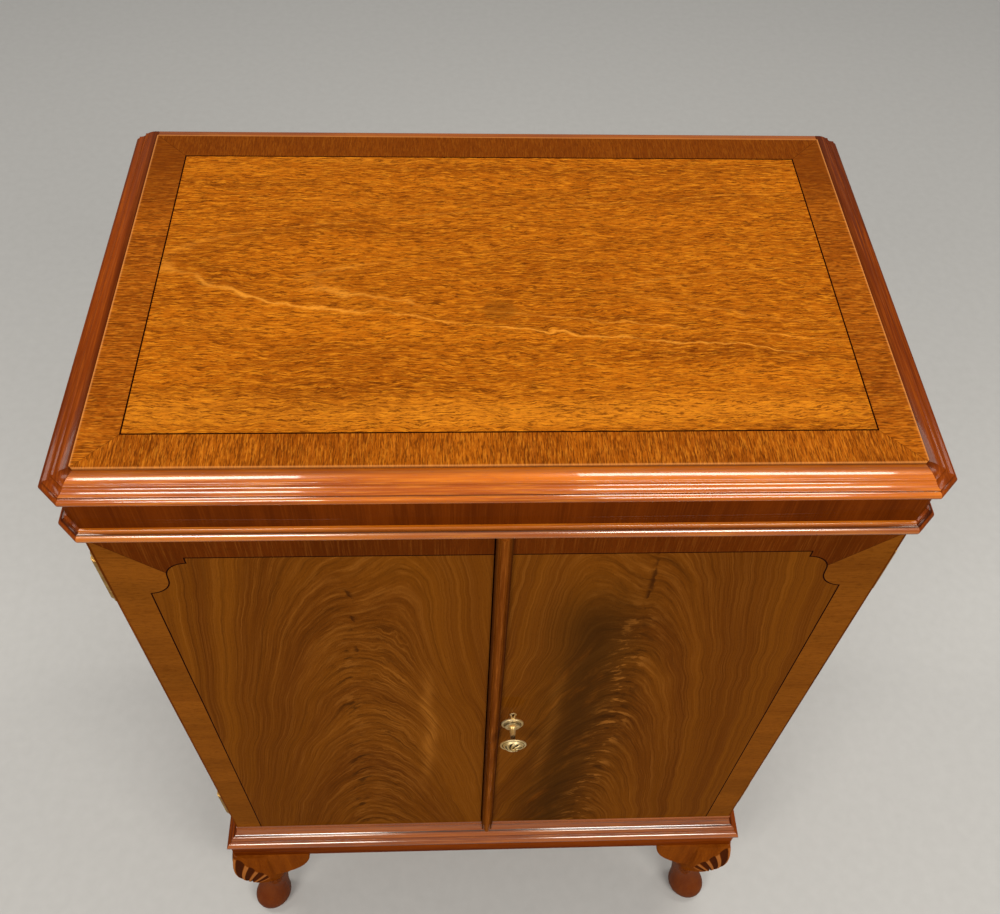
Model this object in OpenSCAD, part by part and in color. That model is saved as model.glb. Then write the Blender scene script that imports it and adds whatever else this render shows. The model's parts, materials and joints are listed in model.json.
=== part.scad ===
// Cocktail cabinet with a lift-up lid over a bar well, two doors and short cabriole legs.
// Millimetres. +X is the viewer's right, -Y the front, +Z up, the floor is z = 0.

/* [Case] */
// Width over the two sides, and over the two doors
case_w = 600; // [560:10:660]
// Depth from the door faces to the back of the case
case_d = 377; // [340:1:420]
// Thickness of the sides
side_t = 16; // [14:1:20]
// Thickness of the cupboard floor
floor_t = 16; // [12:1:20]
// Thickness of the bar deck, which is the floor of the well
deck_t = 12; // [9:1:16]
// Height of the deck's top over the cupboard floor
deck_rise = 530; // [480:5:560]
// Thickness of the wall in front of the well
well_wall_t = 12; // [9:1:16]
// Thickness of the back panel
back_t = 6; // [4:1:8]
// Width of the rebate that takes the back panel
rebate_w = 8; // [6:1:10]
// Height of the rail across the top of the back
back_rail_h = 46; // [36:1:60]
// Thickness of that rail
back_rail_t = 18; // [16:1:22]
// Thickness of the shelf
shelf_t = 12; // [9:1:16]
// Height of the shelf's top over the cupboard floor
shelf_rise = 334; // [280:2:400]
// Setback of the shelf's front edge from the door faces
shelf_setback = 32; // [30:1:60]
// Depth of the grooves that hold the shelf
shelf_groove = 5; // [3:1:6]
// Height of the shelf's shoulder over its tongues
shelf_shoulder = 4; // [3:1:5]
// Depth of the rebate in the deck that takes the well front
deck_rebate = 3; // [2:0.5:4]

/* [Base and legs] */
// Height of the legs up to the apron
leg_h = 235; // [200:5:280]
// Height of the apron rails
apron_h = 30; // [24:1:40]
// Thickness of the apron rails
apron_t = 20; // [16:1:24]
// Overhang of the apron rails past the case
apron_out = 11.6; // [9:0.1:13]
// Height of the base moulding
base_h = 43; // [43:1:50]
// Side of the square post at the top of each leg
post_w = 34; // [28:1:40]
// Height of that post above the apron's lower edge
post_h = 26; // [20:1:30]
// Length of the knee blocks from the corner
ear_len = 92; // [84:1:110]
// Thickness of the knee blocks
ear_t = 24; // [20:1:30]
// Height of the knee blocks beside the leg
ear_h = 84; // [70:1:90]
// How far the knee blocks stand proud of the apron
ear_out = 1; // [0.5:0.1:2]

/* [Frieze, waist and lid] */
// Height of the frieze
frieze_h = 33.7; // [26:0.1:44]
// Overhang of the frieze past the case
frieze_out = 5.2; // [3:0.1:6]
// Height of the waist moulding
waist_h = 19.5; // [19.5:0.5:26]
// Length along one side of the cut off corner, at the edge of the mouldings
corner_cut = 15; // [13:0.5:18]
// Overhang at which that corner length holds
corner_out = 12.3; // [12:0.1:13]
// Thickness of the lid
lid_t = 16; // [16:1:20]
// Gap between the closed lid and the case
lid_gap = 0.3; // [0.2:0.1:0.6]
// Setback of the lid's flat panel from the case's outline
panel_in = 9.3; // [8:0.1:11]
// Width of the lipping along the back of the lid
lip_w = 7.7; // [5:0.1:12]
// Width of the crossbanded border on the lid
border_w = 28.2; // [20:0.2:40]
// Width of the inlaid stringing
string_w = 1.2; // [0.8:0.1:2]
// Thickness of the veneers
veneer_t = 1; // [0.6:0.1:1.2]
// Gap in a veneer mitre
mitre_gap = 0.1; // [0.05:0.05:0.2]
// Thickness of the mirror under the lid
mirror_t = 4; // [3:0.5:5]
// Width of the mirror
mirror_w = 472; // [400:2:500]
// Depth of the mirror
mirror_d = 272; // [220:2:290]
// Width of the beading round the mirror
beading_w = 8; // [6:1:10]
// Height of the beading
beading_h = 6; // [5:0.5:8]

/* [Doors] */
// Height of the doors
door_h = 640; // [600:5:680]
// Thickness of the doors with their veneer
door_t = 15; // [14:0.5:18]
// Gap between the doors and the case behind them
door_back_gap = 0.5; // [0.3:0.1:1]
// Gap below the doors
door_gap_low = 1; // [0.8:0.1:2]
// Gap above the doors
door_gap_high = 1.5; // [1:0.1:3]
// Gap between the two doors
meeting_gap = 1.2; // [0.8:0.1:2]
// Radius of the doors' rounded outer edge
arris_r = 3.2; // [2:0.1:4]
// Width of the crossbanding at the doors' outer edge and top
band_w = 28.2; // [20:0.2:36]
// Width of the meeting bead
bead_w = 12.8; // [10:0.2:16]
// How far the meeting bead stands proud of the door
bead_out = 7; // [6:0.2:8]
// Place of the meeting bead's left edge, which is the right door's edge
bead_x = -5; // [-8:0.2:-4]
// How far the bead's lower end hangs below the door
bead_drop = 17; // [10:1:18]
// Thickness of the bead's scribed lower end
bead_end_t = 3.5; // [2:0.1:3.6]

/* [Hinges] */
// Length of a door hinge
hinge_l = 57; // [50:1:70]
// Radius of a door hinge's knuckle
knuckle_r = 4.5; // [4:0.1:5]
// Distance of the hinge pin outside the case
pin_out = 5.5; // [5:0.1:7]
// Radius of the door hinge pins
pin_r = 2; // [1.5:0.1:2.4]
// Running clearance round a pin
pin_play = 0.05; // [0.02:0.01:0.1]
// Width of a hinge leaf on the wood
leaf_w = 14; // [12:1:15]
// Thickness of the hinge leaves
leaf_t = 1.6; // [1.2:0.1:2]
// Height of the upper hinge's centre above the door's lower edge
hinge_high = 563; // [520:1:590]
// Height of the lower hinge's centre above the door's lower edge
hinge_low = 46; // [40:1:90]
// Radius of the balls on the hinge pins
ball_r = 3.2; // [2.5:0.1:4]
// Radius of a screw head
screw_r = 2.9; // [2:0.1:3.2]
// Length of a screw
screw_l = 10; // [8:1:12]
// Length of a lid hinge
lid_hinge_l = 52; // [40:1:70]
// Distance of the lid hinges from the middle
lid_hinge_x = 200; // [140:5:230]
// Radius of a lid hinge's knuckle
lid_knuckle_r = 3.5; // [3:0.1:4]
// Radius of the lid hinge pins
lid_pin_r = 1.5; // [1.2:0.1:1.8]
// Distance of the lid's hinge pin behind the case
lid_pin_out = 4; // [3.8:0.1:5]

/* [Knob, lock and bolt] */
// Gap between the knob's rose and the meeting bead
rose_gap = 1.4; // [0.3:0.1:3]
// Height of the knob above the door's lower edge
knob_rise = 298; // [280:1:330]
// How far the knob stands out of the door
knob_out = 28.5; // [26:0.5:32]
// Radius of the knob's head
knob_r = 12.9; // [11:0.1:14]
// Radius of the rose behind the knob
rose_r = 11; // [10:0.1:12]
// Height of the rose's collar over the door
rose_h = 4.8; // [4:0.1:5.5]
// Radius of the threaded stud that holds the knob
stud_r = 2; // [1.5:0.1:2.5]
// Radius of the keyhole plate's round end
plate_r = 3.3; // [3:0.1:3.6]
// Radius of the keyhole's round end
keyhole_r = 2; // [1.6:0.1:2.2]
// Width of the keyhole's slot
keyhole_w = 1.8; // [1.4:0.1:2]
// Distance from the keyhole's round end down to the tip of its plate
plate_drop = 9.8; // [8:0.1:11]
// Width of the lock case
lock_w = 50; // [40:1:60]
// Height of the lock case
lock_h = 60; // [50:1:70]
// Thickness of the lock case
lock_t = 11; // [9:0.5:12]
// Height of the lock's bolt
lock_bolt_h = 12; // [8:1:16]
// Thickness of the lock's bolt
lock_bolt_t = 5; // [4:0.5:6]
// Radius of the left door's bolt
bolt_r = 3; // [2.5:0.1:3.5]
// Length of the left door's bolt
bolt_l = 70; // [60:1:90]
// Distance of that bolt behind the door
bolt_back = 8; // [7:0.5:9]
// Clearance round the two bolts
bolt_play = 0.3; // [0.2:0.1:0.5]
// Travel of the left door's bolt
bolt_travel = 9; // [6:1:10]

/* [Hidden] */

// Colours
solid_wood = [0.55, 0.24, 0.1];
field_wood = [0.72, 0.4, 0.12];
band_wood = [0.56, 0.29, 0.08];
flame_wood = [0.4, 0.22, 0.08];
dark_wood = [0.16, 0.08, 0.03];
case_wood = [0.45, 0.24, 0.11];
brass = [0.78, 0.66, 0.36];
silvering = [0.8, 0.86, 0.88];

// Legs: each row holds a height as a share of the leg, the middle of the section as a distance out
// along one side from the apron's corner, half the section towards the corner and across it, and
// the exponent that makes the section square (1) or round (2)
leg_rows = [
    [0.000, -16.5, 21, 18.5, 2.0],
    [0.025, -16.0, 24, 21.5, 2.0],
    [0.060, -15.8, 25.5, 23, 2.0],
    [0.105, -17.0, 24, 21.5, 2.0],
    [0.160, -21.5, 18.5, 17, 2.0],
    [0.230, -26.0, 14.5, 14.5, 2.0],
    [0.330, -26.5, 15.5, 15.5, 1.9],
    [0.460, -22.5, 21.5, 21, 1.75],
    [0.600, -17.5, 28.5, 28, 1.5],
    [0.720, -15.5, 32, 32, 1.32],
    [0.840, -15.5, 32, 32.5, 1.25],
    [0.940, -17.0, 30, 30.5, 1.2],
    [1.000, -18.0, 27.5, 28.5, 1.15],
];
leg_sides = 24;
leg_rings = 26;
function between(a, b, c, d, t) =
    b + 0.5 * t * (c - a + t * (2 * a - 5 * b + 4 * c - d + t * (3 * (b - c) + d - a)));
function row_at(i) = leg_rows[max(0, min(len(leg_rows) - 1, i))];
function row_below(s, i = 0) = i + 2 >= len(leg_rows) || leg_rows[i + 1][0] > s ? i : row_below(s, i + 1);
function leg_value(s, column) =
    let (i = row_below(s))
    let (t = (s - row_at(i)[0]) / (row_at(i + 1)[0] - row_at(i)[0]))
    between(row_at(i - 1)[column], row_at(i)[column], row_at(i + 1)[column], row_at(i + 2)[column], t);
function leg_share(i) = let (t = i / leg_rings) t < 0.5 ? 0.36 * t / 0.5 : 0.36 + 0.64 * (t - 0.5) / 0.5;
function section_r(a, along, across, power) =
    pow(pow(abs(cos(a)) / along, power) + pow(abs(sin(a)) / across, power), -1 / power);
function leg_point(i, j) =
    let (s = leg_share(i))
    let (a = -360 * j / leg_sides)
    let (r = section_r(a, leg_value(s, 2), leg_value(s, 3), leg_value(s, 4)))
    let (x = leg_value(s, 1) + (r * cos(a) - r * sin(a)) / sqrt(2))
    let (y = -leg_value(s, 1) - (r * cos(a) + r * sin(a)) / sqrt(2))
    [x, y, leg_h * s];

// Depths: the whole reaches from the front knees or the knob to the back knees or the lid's hinges
knee_out = max([for (i = [0:leg_rings]) for (j = [0:leg_sides - 1]) leg_point(i, j)[0]]);
front_out = max(knob_out, apron_out + knee_out);
back_out = max(knee_out, lid_pin_out + lid_knuckle_r);
yd = front_out - (front_out + case_d + back_out) / 2;
y_back = yd + case_d;
door_back = yd + door_t;
y_case = door_back + door_back_gap;
half_w = case_w / 2;
inner_w = half_w - side_t;

// Heights
apron_top = leg_h + apron_h;
base_top = apron_top + base_h;
door_z0 = base_top + door_gap_low;
door_z1 = door_z0 + door_h;
waist_z0 = door_z1 + door_gap_high;
frieze_z0 = waist_z0 + waist_h;
case_top = frieze_z0 + frieze_h;
lid_z0 = case_top + lid_gap;
lid_z1 = lid_z0 + lid_t;
deck_top = base_top + deck_rise;
shelf_top = base_top + shelf_rise;
floor_z0 = base_top - floor_t;
rail_z0 = case_top - back_rail_h;

// Mitres of the cut off corners, which get shorter inwards
mitre_run = tan(22.5);
corner_rate = 2 - sqrt(2);
apex_out = corner_out - corner_cut / corner_rate;
apex_x = half_w + apex_out;
apex_y = yd - apex_out;
reach = 60;

// Lid panel
panel_x = half_w - panel_in;
panel_y0 = yd + panel_in;
panel_y1 = y_back - lip_w;
panel_cut = corner_cut - corner_rate * (corner_out + panel_in);
panel_top = lid_z1 - veneer_t;

// Stringing on the doors: the shaped corner is a step and two arcs, from the stringing's own corner
string_x = arris_r + band_w;
string_z = door_z1 - band_w;
step_x = 35.2;
arc_a_r = 17.6;
arc_a_z = 25;
arc_b_x = 3;
arc_b_z = 31;
arc_b_r = 20.4;
arc_steps = 10;
left_inner = bead_x - meeting_gap;

// Hinges
pin_x = half_w + pin_out;
pin_y = door_back + door_back_gap / 2;
knuckles = 5;
knuckle_gap = 0.3;
screw_gap = 0.06;
knuckle_l = hinge_l / knuckles;
hinge_zs = [door_z0 + hinge_low, door_z0 + hinge_high];
leaf_clear = 0.4;
plate_x = pin_x - knuckle_r - leaf_clear;
screw_core_r = 1.5;
screw_spread = hinge_l / 3;
lid_pin_y = y_back + lid_pin_out;
lid_pin_z = case_top + lid_gap / 2;
lid_leaf_w = 17;
lid_knuckle_l = lid_hinge_l / knuckles;
lid_screw_spread = lid_hinge_l / 3;

// Knob, lock and bolt
knob_x = bead_x + bead_w + rose_gap + rose_r;
knob_z = door_z0 + knob_rise;
keyhole_z = knob_z + rose_r + plate_drop + 0.2;
plate_tip_w = 1.5;
plate_t = 0.8;
lock_z = keyhole_z;
lock_x0 = bead_x;
lock_bolt_l = lock_w - 12;
lock_bolt_y = door_back + 2;
bolt_x = left_inner - 16;
bolt_y = door_back + bolt_back;
bolt_z0 = base_top + 2;
bolt_hole_z = bolt_z0 - bolt_travel - 1.5;
bolt_grip_z = bolt_z0 + bolt_l * 0.45;
bolt_plate_w = 18;
bolt_plate_z0 = door_z0 + 4;
bolt_plate_h = 62;
bolt_plate_t = 1.5;
staple_h = 8;
staple_wall = 2;

// An elliptical arc as points, from angle a to angle b
function arc(x, z, rx, rz, a, b, n = 6) =
    [for (i = [0:n]) [x + rx * cos(a + (b - a) * i / n), z + rz * sin(a + (b - a) * i / n)]];

// Profiles: first the distance out from the case's outline, then the height
inner_d = yd - y_case;
ovolo_r = 14.4;
lid_profile = concat(
    [[-panel_in, lid_z0], [-panel_in, lid_z1 - 1.8]],
    arc(-6.5, lid_z1 - 1.8 - ovolo_r, ovolo_r, ovolo_r, 90, 58.6),
    [[2.6, lid_z1 - 3.9]],
    arc(8.2, lid_z1 - 3.9, 5.6, 3.5, 185, 270),
    [[9, lid_z1 - 7.4]],
    arc(9, lid_z1 - 12.2, 3.3, 3.3, 90, -90, 10),
    [[9, lid_z0]]
);
waist_profile = concat(
    [[inner_d, waist_z0], [inner_d, frieze_z0], [7.2, frieze_z0], [7.2, frieze_z0 - 1.8]],
    arc(8, frieze_z0 - 6.2, 4.2, 4.4, 90, -60, 10),
    [[8.9, frieze_z0 - 10.6]],
    arc(8, frieze_z0 - 18, 7, 7.4, 90, 180),
    [[1, waist_z0]]
);
base_profile = concat(
    [[inner_d, apron_top], [inner_d, base_top], [-0.5, base_top]],
    arc(4.2, base_top - 3, 4.4, 16.6, 180, 262, 8),
    [[4.6, base_top - 20]],
    arc(4.6, base_top - 27.5, 4, 7, 85, 0),
    [[8.6, base_top - 28.7]],
    arc(8.8, base_top - 36, 5.8, 7, 88, -90, 10),
    [[8.8, apron_top]]
);
frieze_profile = [[inner_d, frieze_z0], [frieze_out, frieze_z0], [frieze_out, case_top], [inner_d, case_top]];

// A profile run along the front, centred on the middle
module front_run(profile) {
    translate([-half_w - reach, yd, 0])
        rotate([90, 0, 90])
            linear_extrude(case_w + 2 * reach)
                polygon([for (p = profile) [-p[0], p[1]]]);
}

// A profile run along the right side, up to the back of the case
module side_run(profile) {
    translate([half_w, y_back, 0])
        rotate([90, 0, 0])
            linear_extrude(case_d + reach)
                polygon(profile);
}

// A profile run along the right corner's 45 degree face
module corner_run(profile) {
    cut_at_case = corner_cut - corner_rate * corner_out;
    face = (half_w - cut_at_case - yd) / sqrt(2);
    middle = (half_w + yd) / sqrt(2);
    rotate([0, 0, -45])
        translate([face, middle + reach, 0])
            rotate([90, 0, 0])
                linear_extrude(2 * reach)
                    polygon(profile);
}

// Plan areas that the mitres leave to each run
module tall_area(points) {
    linear_extrude(lid_z1 + reach)
        polygon(points);
}
module front_area() {
    tall_area([
        [apex_x - reach, apex_y + reach],
        [-apex_x + reach, apex_y + reach],
        [-apex_x, apex_y],
        [-apex_x - mitre_run * reach, apex_y - reach],
        [apex_x + mitre_run * reach, apex_y - reach],
        [apex_x, apex_y],
    ]);
}
module corner_area() {
    tall_area([
        [apex_x, apex_y],
        [apex_x + mitre_run * reach, apex_y - reach],
        [apex_x + reach, apex_y - reach],
        [apex_x + reach, apex_y - mitre_run * reach],
    ]);
}
module side_area() {
    tall_area([
        [apex_x, apex_y],
        [apex_x + reach, apex_y - mitre_run * reach],
        [apex_x + reach, y_back],
        [apex_x - reach, y_back],
        [apex_x - reach, apex_y + reach],
    ]);
}
module square_front_area() {
    tall_area([
        [half_w - reach, yd + reach],
        [-half_w + reach, yd + reach],
        [-half_w - reach, yd - reach],
        [half_w + reach, yd - reach],
    ]);
}
module square_side_area() {
    tall_area([
        [half_w - reach, yd + reach],
        [half_w + reach, yd - reach],
        [half_w + reach, y_back],
        [half_w - reach, y_back],
    ]);
}

// The case behind the doors, which the applied mouldings stop against
module case_block() {
    translate([-half_w, y_case, 0])
        cube([case_w, case_d, lid_z1 + reach]);
}

module moulded_front(profile) {
    intersection() {
        front_run(profile);
        front_area();
    }
}
module moulded_side(profile) {
    difference() {
        intersection() {
            side_run(profile);
            side_area();
        }
        case_block();
    }
}
module moulded_corner(profile) {
    difference() {
        intersection() {
            corner_run(profile);
            corner_area();
        }
        case_block();
    }
}
module both_sides() {
    children();
    mirror([1, 0, 0])
        children();
}

// Case
module hinge_recess(z) {
    translate([-half_w - 1, y_case - 1, z - hinge_l / 2])
        cube([leaf_w + 1, leaf_t + 1, hinge_l]);
}
module side_board() {
    color(case_wood)
        difference() {
            translate([-half_w, y_case, apron_top])
                cube([side_t, y_back - y_case, case_top - apron_top]);
            translate([-inner_w - rebate_w, y_back - back_t, apron_top - 1])
                cube([rebate_w + 1, back_t + 1, rail_z0 - apron_top + 1]);
            translate([-inner_w - shelf_groove, yd + shelf_setback, shelf_top - shelf_t])
                cube([shelf_groove + 1, case_d, shelf_t - shelf_shoulder]);
            for (z = hinge_zs)
                hinge_recess(z);
        }
}
module left_side() {
    side_board();
}
module right_side() {
    mirror([1, 0, 0])
        side_board();
}
module case_bottom() {
    color(case_wood)
        difference() {
            translate([-inner_w, y_case, floor_z0])
                cube([2 * inner_w, y_back - back_t - y_case, floor_t]);
            translate([bolt_x, bolt_y, bolt_hole_z])
                cylinder(r = bolt_r + bolt_play, h = floor_t, $fn = 48);
        }
}
// The deck has a rebate along its front edge, and the well front stands in it
module bar_deck() {
    color(case_wood)
        difference() {
            translate([-inner_w, y_case, deck_top - deck_t])
                cube([2 * inner_w, y_back - back_t - y_case, deck_t]);
            translate([-inner_w - 1, y_case - 1, deck_top - deck_rebate])
                cube([2 * inner_w + 2, well_wall_t + 1, deck_rebate + 1]);
        }
}
module well_front() {
    color(case_wood)
        translate([-inner_w, y_case, deck_top - deck_rebate])
            cube([2 * inner_w, well_wall_t, case_top - deck_top + deck_rebate]);
}
module back_panel() {
    color(case_wood)
        translate([-inner_w - rebate_w, y_back - back_t, apron_top])
            cube([2 * (inner_w + rebate_w), back_t, rail_z0 - apron_top]);
}
module lid_leaf_block(z, height) {
    for (side = [-1, 1])
        translate([side * lid_hinge_x - lid_hinge_l / 2, y_back - lid_leaf_w, z])
            cube([lid_hinge_l, lid_leaf_w + 1, height]);
}
module top_back_rail() {
    color(case_wood)
        difference() {
            translate([-inner_w, y_back - back_rail_t, rail_z0])
                cube([2 * inner_w, back_rail_t, back_rail_h]);
            lid_leaf_block(case_top - leaf_t, leaf_t + 1);
        }
}
// The shelf has a shoulder over each tongue, so its top ends at the sides
module shelf() {
    color(case_wood)
        difference() {
            translate([-inner_w - shelf_groove, yd + shelf_setback, shelf_top - shelf_t])
                cube([2 * (inner_w + shelf_groove), y_back - back_t - yd - shelf_setback, shelf_t]);
            for (x = [-inner_w - shelf_groove - 1, inner_w])
                translate([x, yd + shelf_setback - 1, shelf_top - shelf_shoulder])
                    cube([shelf_groove + 1, case_d, shelf_shoulder + 1]);
        }
}

// Frieze and waist moulding
module frieze_front() {
    color(band_wood)
        moulded_front(frieze_profile);
}
module frieze_left() {
    color(band_wood)
        mirror([1, 0, 0])
            moulded_side(frieze_profile);
}
module frieze_right() {
    color(band_wood)
        moulded_side(frieze_profile);
}
module frieze_corners() {
    color(band_wood)
        both_sides()
            moulded_corner(frieze_profile);
}
module waist_front() {
    color(solid_wood)
        moulded_front(waist_profile);
}
module waist_left() {
    color(solid_wood)
        mirror([1, 0, 0])
            moulded_side(waist_profile);
}
module waist_right() {
    color(solid_wood)
        moulded_side(waist_profile);
}
module waist_corners() {
    color(solid_wood)
        both_sides()
            moulded_corner(waist_profile);
}

// Base moulding and apron
module base_moulding_front() {
    color(solid_wood)
        intersection() {
            front_run(base_profile);
            square_front_area();
        }
}
module base_side() {
    difference() {
        intersection() {
            side_run(base_profile);
            square_side_area();
        }
        case_block();
    }
}
module base_moulding_left() {
    color(solid_wood)
        mirror([1, 0, 0])
            base_side();
}
module base_moulding_right() {
    color(solid_wood)
        base_side();
}
module apron_front() {
    color(solid_wood)
        translate([-half_w - apron_out, yd - apron_out, leg_h])
            cube([case_w + 2 * apron_out, apron_t, apron_h]);
}
module apron_side() {
    color(solid_wood)
        translate([half_w + apron_out - apron_t, yd - apron_out + apron_t, leg_h])
            cube([apron_t, case_d + apron_out - apron_t, apron_h]);
}
module apron_left() {
    mirror([1, 0, 0])
        apron_side();
}
module apron_right() {
    apron_side();
}
module apron_back() {
    color(case_wood)
        translate([-half_w - apron_out + apron_t, y_back - apron_t, leg_h])
            cube([case_w + 2 * apron_out - 2 * apron_t, apron_t, apron_h]);
}

// The turned part of the front right leg, from the apron's corner
module cabriole() {
    points = [for (i = [0:leg_rings]) for (j = [0:leg_sides - 1]) leg_point(i, j)];
    last = leg_rings * leg_sides;
    walls = [for (i = [0:leg_rings - 1]) for (j = [0:leg_sides - 1])
        let (a = i * leg_sides + j, b = i * leg_sides + (j + 1) % leg_sides)
        for (f = [[a, a + leg_sides, b], [b, a + leg_sides, b + leg_sides]]) f];
    ends = [
        [for (j = [0:leg_sides - 1]) j],
        [for (j = [leg_sides - 1:-1:0]) last + j],
    ];
    polyhedron(points, concat(walls, ends));
}

// The knee block along the front, from the apron's corner towards the middle
ear_start = 20;
module ear() {
    translate([0, ear_t - ear_out, 0])
        rotate([90, 0, 0])
            linear_extrude(ear_t)
                polygon(concat(
                    [[-ear_start, leg_h]],
                    arc(-ear_start, leg_h, ear_len - ear_start, ear_h, 180, 270, 14)
                ));
}
module leg_at_corner() {
    color(solid_wood)
        union() {
            cabriole();
            ear();
            mirror([1, 1, 0])
                ear();
            translate([-apron_t - post_w, apron_t, leg_h - 20])
                cube([post_w, post_w, 20 + post_h]);
        }
}
module front_right_place() {
    translate([half_w + apron_out, yd - apron_out, 0])
        children();
}
module back_right_place() {
    translate([half_w + apron_out, y_back, 0])
        mirror([0, 1, 0])
            children();
}
module leg_front_right() {
    front_right_place()
        leg_at_corner();
}
module leg_front_left() {
    mirror([1, 0, 0])
        front_right_place()
            leg_at_corner();
}
module leg_back_right() {
    back_right_place()
        leg_at_corner();
}
module leg_back_left() {
    mirror([1, 0, 0])
        back_right_place()
            leg_at_corner();
}

// Door hinges, drawn on the left and mirrored for the right
module knuckle_part(z, first) {
    for (i = [first:2:knuckles - 1])
        translate([0, 0, z - hinge_l / 2 + i * knuckle_l + knuckle_gap / 2])
            children();
}
module countersunk(gap) {
    union() {
        cylinder(r1 = screw_r + gap, r2 = screw_core_r + gap, h = leaf_t, $fn = 32);
        cylinder(r = screw_core_r + gap, h = screw_l, $fn = 32);
    }
}
module leaf_screws(z, y_face, direction, gap = 0) {
    for (dz = [-screw_spread, 0, screw_spread])
        translate([-half_w + leaf_w / 2 + 1.5 * (dz == 0 ? -1 : 1), y_face, z + dz])
            rotate([-90 * direction, 0, 0])
                countersunk(gap);
}
module door_leaf(z, first, y0, y_face, direction) {
    difference() {
        union() {
            translate([-plate_x, y0, z - hinge_l / 2])
                cube([plate_x - half_w + leaf_w, leaf_t, hinge_l]);
            knuckle_part(z, first)
                translate([-pin_x, pin_y, 0])
                    cylinder(r = knuckle_r, h = knuckle_l - knuckle_gap, $fn = 48);
            knuckle_part(z, first)
                translate([-pin_x, y0, 0])
                    cube([pin_x - plate_x + 1, leaf_t, knuckle_l - knuckle_gap]);
        }
        translate([-pin_x, pin_y, z - hinge_l / 2 - 1])
            cylinder(r = pin_r + pin_play, h = hinge_l + 2, $fn = 48);
        leaf_screws(z, y_face, direction, screw_gap);
    }
    leaf_screws(z, y_face, direction);
}
module door_side_leaves() {
    for (z = hinge_zs)
        door_leaf(z, 1, door_back - leaf_t, door_back, -1);
}
module case_side_leaves() {
    for (z = hinge_zs)
        door_leaf(z, 0, y_case, y_case, 1);
}
module case_hinge_leaves() {
    color(brass)
        both_sides()
            case_side_leaves();
}
module ball_pin(z) {
    translate([-pin_x, pin_y, z])
        rotate_extrude($fn = 48)
            polygon(concat(
                [[0, -hinge_l / 2 - 6 - ball_r]],
                arc(0, -hinge_l / 2 - 6, ball_r, ball_r, -80, 62, 8),
                [[1.5, -hinge_l / 2 - 2.4], [3.4, -hinge_l / 2 - 1.6], [3.4, -hinge_l / 2 - 0.2]],
                [[pin_r, -hinge_l / 2 - 0.2], [pin_r, hinge_l / 2 + 0.2]],
                [[3.4, hinge_l / 2 + 0.2], [3.4, hinge_l / 2 + 1.6], [1.5, hinge_l / 2 + 2.4]],
                arc(0, hinge_l / 2 + 6, ball_r, ball_r, -62, 80, 8),
                [[0, hinge_l / 2 + 6 + ball_r]]
            ));
}

// Lid hinges
module lid_knuckles(first) {
    for (side = [-1, 1])
        for (i = [first:2:knuckles - 1])
            translate([side * lid_hinge_x - lid_hinge_l / 2 + i * lid_knuckle_l + knuckle_gap / 2, 0, 0])
                children();
}
module lid_leaves(first, z0, z_face, direction) {
    difference() {
        union() {
            for (side = [-1, 1])
                translate([side * lid_hinge_x - lid_hinge_l / 2, y_back - lid_leaf_w, z0])
                    cube([lid_hinge_l, lid_leaf_w, leaf_t]);
            lid_knuckles(first)
                translate([0, lid_pin_y, lid_pin_z])
                    rotate([0, 90, 0])
                        cylinder(r = lid_knuckle_r, h = lid_knuckle_l - knuckle_gap, $fn = 48);
            lid_knuckles(first)
                translate([0, y_back - 1, z0])
                    cube([lid_knuckle_l - knuckle_gap, lid_pin_out + 1, leaf_t]);
        }
        lid_pin_bores();
        lid_screws(z_face, direction, screw_gap);
    }
    lid_screws(z_face, direction);
}
module lid_pin_bores() {
    for (side = [-1, 1])
        translate([side * lid_hinge_x - lid_hinge_l / 2 - 1, lid_pin_y, lid_pin_z])
            rotate([0, 90, 0])
                cylinder(r = lid_pin_r + pin_play, h = lid_hinge_l + 2, $fn = 48);
}
module lid_screws(z_face, direction, gap = 0) {
    for (side = [-1, 1])
        for (dx = [-lid_screw_spread, 0, lid_screw_spread])
            translate([side * lid_hinge_x + dx, y_back - lid_leaf_w / 2 - (dx == 0 ? 2 : -2), z_face])
                rotate([direction > 0 ? 0 : 180, 0, 0])
                    countersunk(gap);
}
module lid_hinge_lower_leaves() {
    color(brass)
        lid_leaves(0, case_top - leaf_t, case_top, -1);
}
module lid_hinge_upper_leaves() {
    color(brass)
        lid_leaves(1, lid_z0, lid_z0, 1);
}
module hinge_pins() {
    color(brass) {
        both_sides()
            for (z = hinge_zs)
                ball_pin(z);
        for (side = [-1, 1])
            translate([side * lid_hinge_x - lid_hinge_l / 2, lid_pin_y, lid_pin_z])
                rotate([0, 90, 0])
                    cylinder(r = lid_pin_r, h = lid_hinge_l, $fn = 48);
    }
}

// Lid
function panel_outline(inset) = [
    [-panel_x + inset, panel_y1 - inset],
    [-panel_x + inset, panel_y0 + max(panel_cut, inset)],
    [-panel_x + max(panel_cut, inset), panel_y0 + inset],
    [panel_x - max(panel_cut, inset), panel_y0 + inset],
    [panel_x - inset, panel_y0 + max(panel_cut, inset)],
    [panel_x - inset, panel_y1 - inset],
];
function panel_rect(inset) = [
    [-panel_x + inset, panel_y1 - inset],
    [-panel_x + inset, panel_y0 + inset],
    [panel_x - inset, panel_y0 + inset],
    [panel_x - inset, panel_y1 - inset],
];
module lid_board() {
    color(case_wood)
        difference() {
            translate([0, 0, lid_z0])
                linear_extrude(lid_t - veneer_t)
                    polygon(panel_outline(0));
            lid_leaf_block(lid_z0 - 1, leaf_t + 1);
        }
}
module lid_field() {
    color(field_wood)
        translate([0, 0, panel_top])
            linear_extrude(veneer_t)
                polygon(panel_rect(border_w + string_w));
}
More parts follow.
